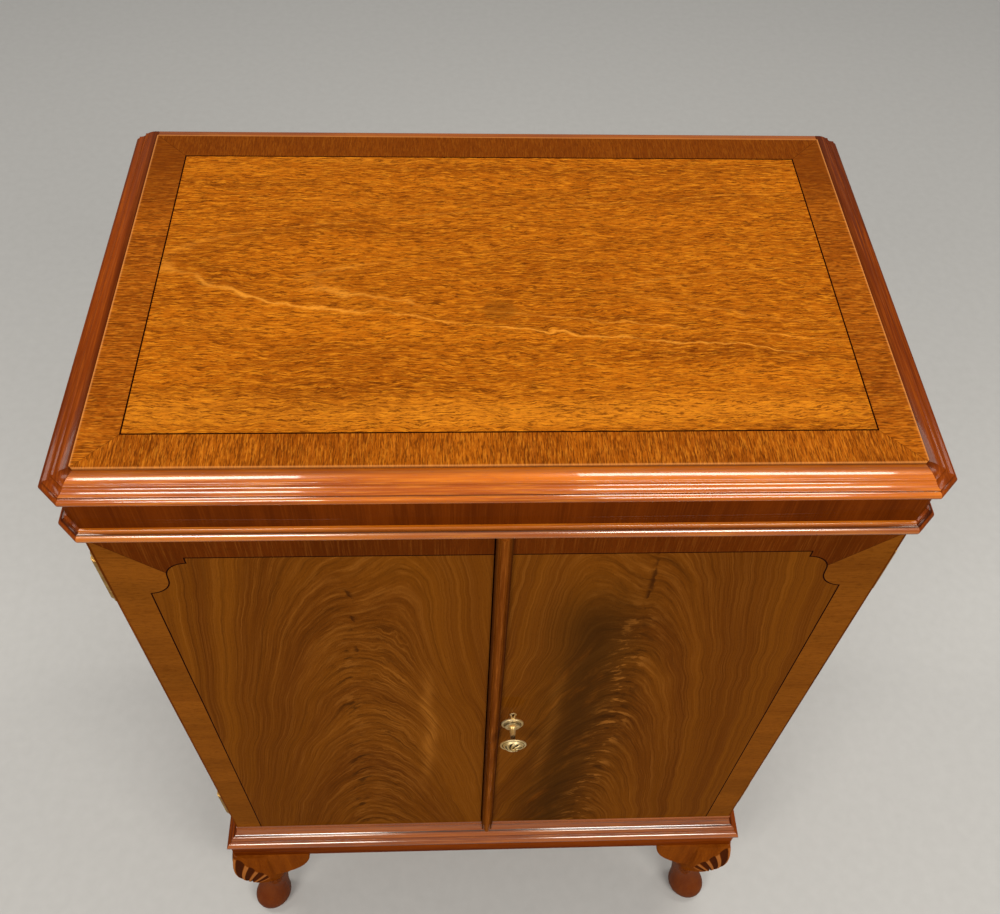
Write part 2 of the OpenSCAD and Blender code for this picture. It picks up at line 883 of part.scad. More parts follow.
// Lines that part the border into four mitred strips
module mitre_kerfs() {
    for (side = [-1, 1]) {
        translate([side * panel_x, panel_y0, 0])
            rotate([0, 0, side > 0 ? 135 : 45])
                square([3 * border_w, mitre_gap], center = true);
        translate([side * panel_x, panel_y1, 0])
            rotate([0, 0, side > 0 ? 225 : -45])
                square([3 * border_w, mitre_gap], center = true);
    }
}
module lid_crossband() {
    color(band_wood)
        translate([0, 0, panel_top])
            linear_extrude(veneer_t)
                difference() {
                    polygon(panel_outline(0));
                    polygon(panel_rect(border_w));
                    mitre_kerfs();
                }
}
module lid_stringing() {
    color(dark_wood)
        translate([0, 0, panel_top])
            linear_extrude(veneer_t)
                difference() {
                    polygon(panel_rect(border_w));
                    polygon(panel_rect(border_w + string_w));
                }
}
module lid_moulding_front() {
    color(solid_wood)
        moulded_front(lid_profile);
}
module lid_side() {
    intersection() {
        side_run(lid_profile);
        side_area();
    }
}
module lid_moulding_left() {
    color(solid_wood)
        mirror([1, 0, 0])
            lid_side();
}
module lid_moulding_right() {
    color(solid_wood)
        lid_side();
}
module lid_moulding_corners() {
    color(solid_wood)
        both_sides()
            intersection() {
                corner_run(lid_profile);
                corner_area();
            }
}
module lid_back_lipping() {
    color(solid_wood)
        difference() {
            translate([-panel_x, panel_y1, lid_z0])
                cube([2 * panel_x, lip_w, lid_t - 1.8]);
            lid_leaf_block(lid_z0 - 1, leaf_t + 1);
        }
}
mirror_y = (panel_y0 + panel_y1) / 2 + 6;
module lid_mirror() {
    color(silvering)
        translate([-mirror_w / 2, mirror_y - mirror_d / 2, lid_z0 - mirror_t])
            cube([mirror_w, mirror_d, mirror_t]);
}
module mirror_beading() {
    color(solid_wood)
        translate([0, mirror_y, lid_z0 - beading_h])
            difference() {
                linear_extrude(beading_h)
                    square([mirror_w + 2 * beading_w, mirror_d + 2 * beading_w], center = true);
                translate([0, 0, -1])
                    linear_extrude(beading_h + 2)
                        square([mirror_w, mirror_d], center = true);
            }
}

// Doors, drawn on the left; inner is the place of the meeting edge
module door_board(inner) {
    difference() {
        translate([0, 0, door_z0])
            linear_extrude(door_h)
                polygon(concat(
                    [[inner, door_back], [-half_w, door_back]],
                    arc(-half_w + arris_r, yd + arris_r, arris_r, arris_r, 180, 270, 8),
                    [[-half_w + arris_r, yd + veneer_t], [inner, yd + veneer_t]]
                ));
        for (z = hinge_zs)
            translate([-half_w - 1, door_back - leaf_t, z - hinge_l / 2])
                cube([leaf_w + 1, leaf_t + 1, hinge_l]);
    }
}
// The figured field's outline, let out by o, in the plane of the door
function field_outline(inner, o) = concat(
    [[inner, door_z0], [inner, string_z + o], [-half_w + string_x + step_x - o, string_z + o]],
    arc(-half_w + string_x + step_x, string_z - arc_a_z, arc_a_r + o, arc_a_r + o,
        90 + asin(o / (arc_a_r + o)), 180, arc_steps),
    arc(-half_w + string_x - arc_b_x, string_z - arc_b_z, arc_b_r - o, arc_b_r - o,
        0, -acos((arc_b_x - o) / (arc_b_r - o)), arc_steps),
    [[-half_w + string_x - o, door_z0]]
);
module veneer_sheet() {
    translate([0, yd + veneer_t, 0])
        rotate([90, 0, 0])
            linear_extrude(veneer_t)
                children();
}
module door_flame(inner) {
    veneer_sheet()
        polygon(field_outline(inner, 0));
}
module door_stringing(inner) {
    veneer_sheet()
        difference() {
            polygon(field_outline(inner, string_w));
            polygon(field_outline(inner, 0));
        }
}
module door_crossband(inner) {
    veneer_sheet()
        difference() {
            translate([-half_w + arris_r, door_z0])
                square([inner + half_w - arris_r, door_h]);
            polygon(field_outline(inner, string_w));
            translate([-half_w + arris_r, door_z1])
                rotate(-45)
                    square([6 * band_w, mitre_gap], center = true);
        }
}

module left_door_board() {
    color(case_wood)
        door_board(left_inner);
}
module left_door_flame() {
    color(flame_wood)
        door_flame(left_inner);
}
module left_door_stringing() {
    color(dark_wood)
        door_stringing(left_inner);
}
module left_door_crossband() {
    color(band_wood)
        door_crossband(left_inner);
}
module left_door_hinge_leaves() {
    color(brass)
        door_side_leaves();
}
module keyhole_cut(y0, depth) {
    translate([knob_x, y0 + depth, keyhole_z])
        rotate([90, 0, 0])
            union() {
                cylinder(r = keyhole_r, h = depth, $fn = 48);
                translate([-keyhole_w / 2, -6.5, 0])
                    cube([keyhole_w, 6.5, depth]);
            }
}
module stud_bore() {
    translate([knob_x, door_back + 1, knob_z])
        rotate([90, 0, 0])
            cylinder(r = stud_r + 0.1, h = door_t + 2, $fn = 48);
}
module right_door_board() {
    color(case_wood)
        difference() {
            mirror([1, 0, 0])
                door_board(-bead_x);
            keyhole_cut(yd, door_t + 1);
            stud_bore();
        }
}
module right_door_flame() {
    color(flame_wood)
        difference() {
            mirror([1, 0, 0])
                door_flame(-bead_x);
            keyhole_cut(yd - 1, 3);
            stud_bore();
        }
}
module right_door_stringing() {
    color(dark_wood)
        mirror([1, 0, 0])
            door_stringing(-bead_x);
}
module right_door_crossband() {
    color(band_wood)
        mirror([1, 0, 0])
            door_crossband(-bead_x);
}
module right_door_hinge_leaves() {
    color(brass)
        mirror([1, 0, 0])
            door_side_leaves();
}
// A round between two flat flanks, with a groove beside it on each side
bead_round_r = 2.9;
bead_flank = 3.6;
function bead_section(back) = concat(
    [[0, -back], [0, -bead_flank + 0.8], [0.8, -bead_flank], [2.2, -bead_flank], [2.9, -bead_flank + 0.6]],
    [[bead_w / 2 - bead_round_r, -bead_out + bead_round_r]],
    arc(bead_w / 2, -bead_out + bead_round_r, bead_round_r, -bead_round_r, 170, 10, 8),
    [[bead_w / 2 + bead_round_r, -bead_out + bead_round_r]],
    [[bead_w - 2.9, -bead_flank + 0.6], [bead_w - 2.2, -bead_flank], [bead_w - 0.8, -bead_flank]],
    [[bead_w, -bead_flank + 0.8], [bead_w, -back]]
);
module meeting_bead() {
    color(solid_wood)
        translate([bead_x, yd, 0])
            difference() {
                translate([0, 0, door_z0 - bead_drop])
                    linear_extrude(door_h + bead_drop)
                        polygon(bead_section(0));
                translate([-1, -bead_out + bead_end_t, door_z0 - bead_drop - 1])
                    cube([bead_w + 2, bead_out, bead_drop + 1]);
            }
}

// Brass on the right door
module knob_rose() {
    color(brass)
        translate([knob_x, yd, knob_z])
            rotate([90, 0, 0])
                rotate_extrude($fn = 64)
                    polygon(concat(
                        [[stud_r + 0.1, 0], [rose_r, 0], [rose_r, 0.9]],
                        arc(rose_r - 1.3, 0.9, 1.3, 1.5, 0, 150, 8),
                        [[rose_r - 3.1, 1.2]],
                        arc(rose_r - 4.3, 3.3, 1.1, 1.5, -60, 90, 8),
                        [[stud_r + 0.1, rose_h]]
                    ));
}
module knob() {
    color(brass)
        translate([knob_x, yd, knob_z])
            rotate([90, 0, 0])
                rotate_extrude($fn = 64)
                    polygon(concat(
                        [[0, -door_t + 1], [stud_r, -door_t + 1], [stud_r, rose_h], [4, rose_h]],
                        [[4, rose_h + 0.7], [3.1, rose_h + 1.3], [2.5, knob_out - 14], [2, knob_out - 10.6]],
                        [[2.2, knob_out - 9.6], [4.4, knob_out - 8.6], [8, knob_out - 7.8]],
                        [[knob_r - 1, knob_out - 7]],
                        arc(knob_r - 1, knob_out - 6, 1, 1, -90, 120, 8),
                        [[knob_r - 2.6, knob_out - 5.6]],
                        arc(0, knob_out - 5.4, knob_r - 3, 5.4, 4, 90, 10)
                    ));
}
module keyhole_shape(r, w) {
    union() {
        circle(r = r, $fn = 48);
        polygon([[-r * 0.75, -r * 0.6], [-w, -plate_drop], [w, -plate_drop], [r * 0.75, -r * 0.6]]);
    }
}
module keyhole_plate() {
    color(brass)
        translate([knob_x, yd, keyhole_z])
            rotate([90, 0, 0])
                linear_extrude(plate_t)
                    difference() {
                        keyhole_shape(plate_r, plate_tip_w);
                        circle(r = keyhole_r, $fn = 48);
                        translate([-keyhole_w / 2, -6.5])
                            square([keyhole_w, 6.5]);
                    }
}
module lock_case() {
    color(brass)
        difference() {
            translate([lock_x0, door_back, lock_z - lock_h / 2])
                cube([lock_w, lock_t, lock_h]);
            translate([lock_x0 - 1, lock_bolt_y - bolt_play, lock_z - lock_bolt_h / 2 - bolt_play])
                cube([lock_bolt_l + 3, lock_bolt_t + 2 * bolt_play, lock_bolt_h + 2 * bolt_play]);
            keyhole_cut(door_back - 1, 3);
        }
}
module lock_bolt() {
    color(brass)
        translate([lock_x0 + 0.2, lock_bolt_y, lock_z - lock_bolt_h / 2])
            cube([lock_bolt_l, lock_bolt_t, lock_bolt_h]);
}

// Bolt on the left door
module staple(z) {
    translate([bolt_x, bolt_y, z])
        difference() {
            translate([-bolt_r - staple_wall - bolt_play, door_back + bolt_plate_t - bolt_y, 0])
                cube([
                    2 * (bolt_r + staple_wall + bolt_play),
                    bolt_back - bolt_plate_t + bolt_r + staple_wall,
                    staple_h,
                ]);
            translate([0, 0, -1])
                cylinder(r = bolt_r + bolt_play, h = staple_h + 2, $fn = 48);
        }
}
module bolt_plate() {
    color(brass)
        union() {
            translate([bolt_x - bolt_plate_w / 2, door_back, bolt_plate_z0])
                cube([bolt_plate_w, bolt_plate_t, bolt_plate_h]);
            staple(bolt_plate_z0 + 4);
            staple(bolt_plate_z0 + bolt_plate_h - 4 - staple_h);
        }
}
module door_bolt() {
    color(brass)
        union() {
            translate([bolt_x, bolt_y, bolt_z0])
                cylinder(r = bolt_r, h = bolt_l, $fn = 48);
            translate([bolt_x, bolt_y, bolt_grip_z])
                rotate([-90, 0, 0])
                    cylinder(r = 2.4, h = bolt_r + 6, $fn = 32);
        }
}

left_side();
right_side();
case_bottom();
bar_deck();
well_front();
back_panel();
top_back_rail();
shelf();
frieze_front();
frieze_left();
frieze_right();
frieze_corners();
waist_front();
waist_left();
waist_right();
waist_corners();
base_moulding_front();
base_moulding_left();
base_moulding_right();
apron_front();
apron_left();
apron_right();
apron_back();
leg_front_left();
leg_front_right();
leg_back_left();
leg_back_right();
case_hinge_leaves();
hinge_pins();
lid_hinge_lower_leaves();
lid_board();
lid_field();
lid_crossband();
lid_stringing();
lid_moulding_front();
lid_moulding_left();
lid_moulding_right();
lid_moulding_corners();
lid_back_lipping();
lid_mirror();
mirror_beading();
lid_hinge_upper_leaves();
left_door_board();
left_door_flame();
left_door_crossband();
left_door_stringing();
left_door_hinge_leaves();
bolt_plate();
door_bolt();
right_door_board();
right_door_flame();
right_door_crossband();
right_door_stringing();
right_door_hinge_leaves();
meeting_bead();
knob_rose();
knob();
keyhole_plate();
lock_case();
lock_bolt();
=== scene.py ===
# %% [markdown]
# # A small cocktail cabinet in mahogany
# The cabinet stands on short cabriole legs, has two doors in flame veneer and a lid that lifts.
# The measured model is the frame: it says where every board is and how the doors and the lid turn.
# This lesson gives that frame its polish, softens its edges, and models by hand what a plain solid
# can't show: the carved knees and the turned brass knob.

# %% Load the frame
import json
import math
import bpy
import bmesh
from mathutils import Matrix
from mathutils import Vector

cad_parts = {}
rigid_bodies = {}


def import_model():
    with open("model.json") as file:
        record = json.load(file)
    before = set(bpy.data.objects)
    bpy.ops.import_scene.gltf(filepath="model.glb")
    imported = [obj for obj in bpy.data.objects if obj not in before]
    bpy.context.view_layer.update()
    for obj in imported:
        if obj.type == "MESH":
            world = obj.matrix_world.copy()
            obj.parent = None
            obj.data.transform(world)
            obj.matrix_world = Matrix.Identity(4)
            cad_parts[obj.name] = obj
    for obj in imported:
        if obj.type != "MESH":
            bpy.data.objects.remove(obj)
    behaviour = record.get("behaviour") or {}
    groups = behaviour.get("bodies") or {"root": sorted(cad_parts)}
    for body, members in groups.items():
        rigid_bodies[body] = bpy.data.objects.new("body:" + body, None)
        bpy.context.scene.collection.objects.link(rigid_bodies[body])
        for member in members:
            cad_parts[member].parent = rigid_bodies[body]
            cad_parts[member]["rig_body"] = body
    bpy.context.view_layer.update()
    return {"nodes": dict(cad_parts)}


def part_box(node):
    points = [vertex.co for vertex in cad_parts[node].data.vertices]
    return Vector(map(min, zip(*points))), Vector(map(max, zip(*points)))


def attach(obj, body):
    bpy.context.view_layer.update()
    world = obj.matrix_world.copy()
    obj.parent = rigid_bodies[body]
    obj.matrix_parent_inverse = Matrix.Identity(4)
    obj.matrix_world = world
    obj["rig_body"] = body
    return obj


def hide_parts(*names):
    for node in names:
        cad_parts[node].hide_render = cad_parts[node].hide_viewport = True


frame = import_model()
nodes = frame["nodes"]
scene = bpy.context.scene
mm = 0.001

# %% [markdown]
# ## Where things are
# All places are in metres, with the front towards minus Y. A few planes come back again and again:
# the face and the head of the doors, the outer faces of the case, and the edges of the lid's panel.

# %% The planes of the cabinet
door_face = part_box("left_door_flame")[0].y
case_half = 300 * mm
case_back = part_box("apron_back")[1].y
door_head = 949 * mm
panel_half = 290.7 * mm
panel_front = door_face + 9.3 * mm
panel_back = door_face + 369.3 * mm

# %% [markdown]
# ## The camera
# The picture was taken standing close, from above. The camera is a real one with no shift: the
# place, the turn and the lens are the ones that make the measured edges fall on the photographed
# ones.

# %% Place the camera
camera_data = bpy.data.cameras.new("viewer")
camera_data.sensor_width = 36
camera_data.sensor_fit = "HORIZONTAL"
camera_data.lens = 37.59
camera = bpy.data.objects.new("viewer", camera_data)
scene.collection.objects.link(camera)
camera.location = (-0.03576, door_face - 0.40889, 1.58394)
camera.rotation_euler = [math.radians(a) for a in (37.06151, -1.79728, -1.84376)]
scene.camera = camera
print("camera at", tuple(camera.location))

# %% [markdown]
# ## Shader sums written as sums
# A finish is a chain of small sums on noise. Written node by node it can't be read, so a thin class
# stands for a socket and takes plus, minus, times and the rest: the expression builds the nodes.
# Colours never go through those sums. They go through a Mix node, which keeps them coloured.

# %% A socket that can be added and multiplied
def plug(tree, target, value):
    if isinstance(value, Wire):
        tree.links.new(value.socket, target)
    elif hasattr(target.default_value, "__len__") and len(value) < len(target.default_value):
        target.default_value = tuple(value) + (1.0,)
    else:
        target.default_value = value


class Wire:
    def __init__(self, tree, socket):
        self.tree = tree
        self.socket = socket

    def sum(self, operation, *terms):
        node = self.tree.nodes.new("ShaderNodeMath")
        node.operation = operation
        for target, value in zip(node.inputs, terms):
            plug(self.tree, target, value)
        return Wire(self.tree, node.outputs[0])

    def __add__(self, other):
        return self.sum("ADD", self, other)

    def __radd__(self, other):
        return self.sum("ADD", other, self)

    def __sub__(self, other):
        return self.sum("SUBTRACT", self, other)

    def __rsub__(self, other):
        return self.sum("SUBTRACT", other, self)

    def __mul__(self, other):
        return self.sum("MULTIPLY", self, other)

    def __rmul__(self, other):
        return self.sum("MULTIPLY", other, self)

    def __truediv__(self, other):
        return self.sum("DIVIDE", self, other)

    def __abs__(self):
        return self.sum("ABSOLUTE", self)

    def __gt__(self, other):
        return self.sum("GREATER_THAN", self, other)

    def root(self):
        return self.sum("SQRT", self)

    def at_most(self, other):
        return self.sum("MINIMUM", self, other)

    def bell(self, width):
        """1 where the value is zero, falling softly to 0 over about twice the width."""
        share = self / width
        return self.sum("EXPONENT", share * share * -1)


# %% A finish and its nodes
def paint(red, green, blue):
    """A screen colour of 0 to 255 as the light it stands for."""
    shares = [c / 255 for c in (red, green, blue)]
    return tuple(s / 12.92 if s < 0.04045 else ((s + 0.055) / 1.055) ** 2.4 for s in shares)


class Finish:
    def __init__(self, name):
        self.material = bpy.data.materials.new(name)
        self.material.use_nodes = True
        self.tree = self.material.node_tree
        self.tree.nodes.clear()
        self.place = self.add("TexCoord", out="Object")
        split = self.add("SeparateXYZ", {}, {0: self.place}).socket.node
        self.x, self.y, self.z = [Wire(self.tree, split.outputs[i]) for i in range(3)]

    def add(self, kind, settings=None, values=None, out=0):
        """Any node: its type, its settings, then the values or links of its sockets."""
        node = self.tree.nodes.new("ShaderNode" + kind)
        for key, value in (settings or {}).items():
            setattr(node, key, value)
        for key, value in (values or {}).items():
            plug(self.tree, node.inputs[key], value)
        return Wire(self.tree, node.outputs[out])

    def noise(self, a, b=0.0, c=0.0, detail=2.0, rough=0.5):
        spot = self.add("CombineXYZ", {}, {0: a, 1: b, 2: c})
        values = {"Vector": spot, "Scale": 1.0, "Detail": detail, "Roughness": rough}
        return self.add("TexNoise", {}, values)

    def step(self, value, low, high):
        """0 below low, 1 above high, and a smooth ramp between them."""
        settings = {"interpolation_type": "SMOOTHSTEP"}
        values = {"Value": value, "From Min": low, "From Max": high}
        return self.add("MapRange", settings, values)

    def mix(self, share, first, second):
        """A blend of two colours."""
        settings = {"data_type": "RGBA", "blend_type": "MIX"}
        return self.add("Mix", settings, {0: share, 6: first, 7: second}, out=2)

    def mix_value(self, share, first, second):
        """The same for plain values: the first where share is 0, the second where it is 1."""
        return share * second + (1 - share) * first

    def close(self, colour, rough, bump=None, depth=0.0, sockets=None):
        """The surface itself. What is the same all over is set on its own socket."""
        values = {"Base Color": colour, "Roughness": rough}
        values.update(sockets or {})
        if bump is not None:
            relief = {"Strength": 1.0, "Distance": depth, "Height": bump}
            values["Normal"] = self.add("Bump", {}, relief)
        shader = self.add("BsdfPrincipled", {}, values)
        output = self.tree.nodes.new("ShaderNodeOutputMaterial")
        self.tree.links.new(shader.socket, output.inputs["Surface"])
        return self.material


POLISH = {"Specular IOR Level": 0.08, "Coat Weight": 0.1, "Coat Roughness": 0.05}
TOP = {"Specular IOR Level": 0.02, "Coat Weight": 0.08, "Coat Roughness": 0.04}
SHEEN = {"Specular IOR Level": 0.0, "Coat Weight": 0.08, "Coat Roughness": 0.04}
GLOSS = {"Specular IOR Level": 0.5, "Coat Weight": 1.0, "Coat IOR": 1.65, "Coat Roughness": 0.05}
print("finishes ready")

# %% [markdown]
# ## Solid mahogany
# The mouldings, the aprons and the legs are solid wood, stained red-brown and French polished. Up
# close there are three things: slow streaks of colour along the grain, a fine stripe, and open
# pores, short dark dashes that the polish fills only in part. Each is the same noise, pulled long
# along the grain, at its own size.

# %% Grain along any direction
def grain(f, along, across, deep, seed=0.0):
    """Slow streaks, fine stripe and pores, each from 0 to 1."""
    streak = f.noise(along * 2.5, across * 55 + seed, deep * 55, detail=4, rough=0.6)
    stripe = f.noise(along * 22, across * 700 + seed, deep * 700, detail=3, rough=0.6)
    dash = f.noise(along * 170, across * 2300 + seed, deep * 2300, detail=1)
    return streak, stripe, f.step(dash, 0.58, 0.72)


def solid_wood(name, axis, tones, seed, shaded_quirks=(), polish=GLOSS, sides=None):
    """Mahogany with its grain along one axis, in a light, a middle and a dark tone.

    A quirk is the narrow groove of a moulding, given as its height and width in millimetres: it is
    painted dark, as painted shade in the groove and the dark polish that collects there. Sides are
    the middle and half width of a bead whose two sides are painted darker, as painted shade where
    its round turns away from the light.
    """
    f = Finish(name)
    light, middle, dark = tones
    order = {"x": (f.x, f.y, f.z), "y": (f.y, f.x, f.z), "z": (f.z, f.x, f.y)}[axis]
    streak, stripe, pores = grain(f, *order, seed=seed)
    colour = f.mix(f.step(streak, 0.32, 0.68), dark, middle)
    colour = f.mix(f.step(stripe, 0.42, 0.8) * 0.6, colour, light)
    colour = f.mix(pores * 0.5, colour, dark)
    # painted shade: each quirk gets a dark line where shade falls in the groove, along with the
    # dark polish that collects there
    for at, wide in shaded_quirks:
        colour = f.mix((f.z - at * mm).bell(wide * mm) * 0.85, colour, paint(40, 10, 2))
    if sides:
        bead_middle, bead_half = sides
        # painted shade: the bead is darker at both sides, where its round turns away from the light
        aside = f.step(abs(f.x - bead_middle), 0.45 * bead_half, 0.9 * bead_half)
        colour = f.mix(aside * 0.85, colour, paint(52, 20, 2))
    peel = f.noise(f.x * 90, f.y * 90, f.z * 90, detail=1)
    rough = 0.18 + 0.1 * stripe + 0.1 * pores
    height = stripe * 0.2 + peel * 0.5 - pores * 0.6
    return f.close(colour, rough, height, 0.00003, polish)


def satin(rough):
    """A worn polish, with a broad warm light instead of a sharp one."""
    wood = {"Specular IOR Level": 0.5, "Specular Tint": (1.0, 0.62, 0.3, 1.0)}
    coat = {"Coat Weight": 1.0, "Coat IOR": 2.4, "Coat Roughness": rough}
    return {**wood, **coat}


# The sides take darker brown tones than the front's red ones, as painted shade: the side mouldings
# show no highlight. The front apron takes the brown tones too.
red_tones = (paint(240, 142, 28), paint(216, 112, 10), paint(154, 68, 3))
brown_tones = (paint(164, 80, 14), paint(134, 57, 6), paint(92, 33, 2))
door_tones = (paint(150, 80, 18), paint(116, 56, 8), paint(70, 29, 2))
base_tones = (paint(220, 122, 26), paint(188, 94, 14), paint(128, 54, 6))
waist_tones = (paint(250, 156, 44), paint(232, 128, 20), paint(172, 82, 6))
bead_tones = (paint(184, 108, 40), paint(148, 80, 20), paint(106, 50, 8))
SHADED_QUIRKS = ((1011.6, 0.5), (1018.6, 0.5), (960.2, 0.6), (967.9, 0.4), (288.2, 0.7), (280.0, 0.6))
wood_x = solid_wood("mahogany along the front", "x", red_tones, 0.0, SHADED_QUIRKS)
wood_y_shaded = solid_wood("mahogany along the sides in painted shade", "y", brown_tones, 7.0, SHADED_QUIRKS, POLISH)
wood_z = solid_wood("mahogany upright", "z", door_tones, 13.0, (), SHEEN)
wood_base = solid_wood("mahogany of the base", "x", base_tones, 29.0, SHADED_QUIRKS, satin(0.16))
wood_waist = solid_wood("mahogany of the waist", "x", waist_tones, 3.0, SHADED_QUIRKS, satin(0.2))
bead_low, bead_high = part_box("meeting_bead")
bead_shade_sides = ((bead_low.x + bead_high.x) / 2, (bead_high.x - bead_low.x) / 2)
wood_bead = solid_wood("mahogany of the bead", "z", bead_tones, 19.0, (), SHEEN, bead_shade_sides)
wood_apron = solid_wood("mahogany of the apron", "x", brown_tones, 31.0, (), SHEEN)
print("solid finishes:", wood_x.name, wood_y_shaded.name, wood_z.name, wood_base.name)

# %% [markdown]
# ## The veneer of the top
# One leaf covers the field of the lid. Its grain runs from side to side, and three things make it
# this leaf: pale rings that close at the left like a long arch, a mottle of short dark dashes, and
# warm gold between browner clouds. The arches are parabolas: the pale line is where the distance
# along one equals zero, and noise bends it.

# %% The field of the lid
def arch(f, x, y, tip_x, tip_y, spread_back, spread_front):
    """How far a point lies inside an arch that opens towards plus X from its tip.

    The two spreads say how wide it opens on the back's side and on the front's side.
    """
    rise = y - tip_y
    spread = f.mix_value(rise > 0, spread_front, spread_back)
    return x - tip_x - rise * rise / spread


def lid_field_finish():
    f = Finish("golden field veneer")
    bend = f.noise(f.x * 9, f.y * 16, 4.0, detail=3, rough=0.6) - 0.5
    wobble = f.noise(f.x * 46, f.y * 60, 9.0, detail=4, rough=0.65) - 0.5
    x = f.x + bend * 0.10 + wobble * 0.04
    y = f.y + bend * 0.02 + wobble * 0.004
    outer = arch(f, x, y, -0.262, 0.034, 0.0128, 0.022)
    middle = arch(f, x, y, -0.140, 0.012, 0.0054, 0.011)
    inner = arch(f, x, y, 0.100, 0.000, 0.0040, 0.009)
    streak, stripe, pores = grain(f, f.x, y, 0.0)
    cloud = f.noise(x * 5, y * 26, 2.0, detail=4, rough=0.62)
    ray = f.noise(f.x * 260, f.y * 700, 5.0, detail=2)
    gold = paint(180, 97, 11)
    honey = paint(156, 80, 7)
    brown = paint(112, 52, 4)
    colour = f.mix(f.step(cloud, 0.34, 0.66), honey, gold)
    colour = f.mix(f.step(streak, 0.46, 0.74) * 0.5, colour, brown)
    colour = f.mix(f.step(streak, 0.44, 0.26) * 0.4, colour, paint(214, 130, 28))
    mottle = f.noise(f.x * 60, y * 640, 3.0, detail=3, rough=0.65)
    colour = f.mix(f.step(mottle, 0.5, 0.68) * 0.5, colour, brown)
    colour = f.mix(f.step(mottle, 0.48, 0.32) * 0.45, colour, paint(222, 138, 32))
    near = f.step(y, 0.04, 0.0) * 0.7 + 0.3
    for inside, strength in ((outer, 0.8), (middle, 0.55), (inner, 0.3)):
        colour = f.mix((inside - 0.024).bell(0.018) * strength * 0.4, colour, brown)
    front_glow = (f.y - panel_front - 0.046).bell(0.016) * f.step(cloud, 0.2, 0.6)
    colour = f.mix(front_glow * 0.4, colour, paint(226, 140, 34))
    colour = f.mix(f.step(ray, 0.56, 0.74) * 0.3, colour, brown)
    crack = f.noise(f.x * 130, y * 1450 + wobble * 4, 3.5, detail=2, rough=0.6)
    colour = f.mix(f.step(crack, 0.5, 0.6) * 0.75, colour, paint(84, 36, 3))
    gleam = f.noise(f.x * 110, y * 1000, 7.5, detail=2, rough=0.6)
    colour = f.mix(f.step(gleam, 0.52, 0.66) * 0.5, colour, paint(226, 140, 28))
    for inside, strength in ((outer, 0.66), (middle, 0.45), (inner, 0.25)):
        broken = f.step(f.noise(f.x * 14, f.y * 30, 1.0), 0.36, 0.58)
        colour = f.mix(inside.bell(0.0065) * broken * near * strength, colour, paint(232, 150, 48))
    colour = f.mix(pores * 0.5, colour, paint(90, 40, 4))
    knot_x = f.x / 0.0135
    knot_y = (f.y + 0.024) / 0.0115
    knot = 1 - f.step((knot_x * knot_x + knot_y * knot_y).root(), 0.75, 1.15)
    colour = f.mix(knot * 0.45, colour, paint(120, 66, 10))
    peel = f.noise(f.x * 70, f.y * 70, 0.0, detail=1)
    rough = 0.2 + 0.1 * stripe + 0.12 * pores
    height = stripe * 0.2 + peel * 0.5 - pores * 0.8
    return f.close(colour, rough, height, 0.00006, TOP)


field_finish = lid_field_finish()
print("lid field:", field_finish.name)

# %% [markdown]
# ## Crossbanding
# A border of veneer strips is laid with the grain across the strip, and cut at 45 degrees where two
# strips meet. So the same finish looks at two distances: a point nearer to the side edge has its
# grain along X, and one nearer to the front or back edge has it along Y. Where both are equal the
# strips meet, and a hair of dark glue shows.

# %% The border of the lid
def lid_band_finish():
    f = Finish("crossband of the lid")
    to_side = panel_half - abs(f.x)
    to_end = (f.y - panel_front).at_most(panel_back - f.y)
    side = to_end > to_side
    along = f.mix_value(side, f.y, f.x)
    across = f.mix_value(side, f.x, f.y + 3.0)
    streak, stripe, pores = grain(f, along, across, 0.0, 21.0)
    patch = f.noise(along * 4, across * 16, 8.0, detail=3)
    colour = f.mix(f.step(patch, 0.3, 0.74), paint(138, 67, 6), paint(168, 88, 11))
    colour = f.mix(f.step(streak, 0.42, 0.72) * 0.3, colour, paint(112, 50, 5))
    colour = f.mix(f.step(stripe, 0.45, 0.8) * 0.4, colour, paint(192, 108, 30))
    mottle = f.noise(along * 80, across * 620, 6.0, detail=3, rough=0.65)
    colour = f.mix(f.step(mottle, 0.5, 0.68) * 0.5, colour, paint(88, 38, 2))
    colour = f.mix(f.step(mottle, 0.47, 0.33) * 0.4, colour, paint(206, 122, 30))
    crack = f.noise(along * 150, across * 1500, 3.5, detail=1, rough=0.6)
    colour = f.mix(f.step(crack, 0.49, 0.6) * 0.68, colour, paint(80, 34, 3))
    gleam = f.noise(along * 110, across * 900, 7.5, detail=2, rough=0.6)
    colour = f.mix(f.step(gleam, 0.52, 0.66) * 0.4, colour, paint(214, 130, 32))
    colour = f.mix(pores * 0.5, colour, paint(80, 32, 2))
    back = f.step(f.y, 0.05, 0.17)
    colour = f.mix(back * 0.75, colour, paint(98, 43, 4))
    joint = (to_side - to_end).bell(0.0005) * (1 - f.step(to_side, 0.027, 0.029))
    colour = f.mix(joint * 0.3, colour, paint(60, 22, 2))
    # painted highlight: a pale line along the outer rim of the border, where its rounded arris
    # catches the light
    edge = (to_side.at_most(to_end) - 0.0003).bell(0.0007)
    colour = f.mix(edge * 0.5, colour, paint(226, 150, 80))
    rough = 0.2 + 0.1 * stripe + 0.12 * pores
    height = stripe * 0.2 - pores * 0.8
    return f.close(colour, rough, height, 0.00006, TOP)


lid_band = lid_band_finish()


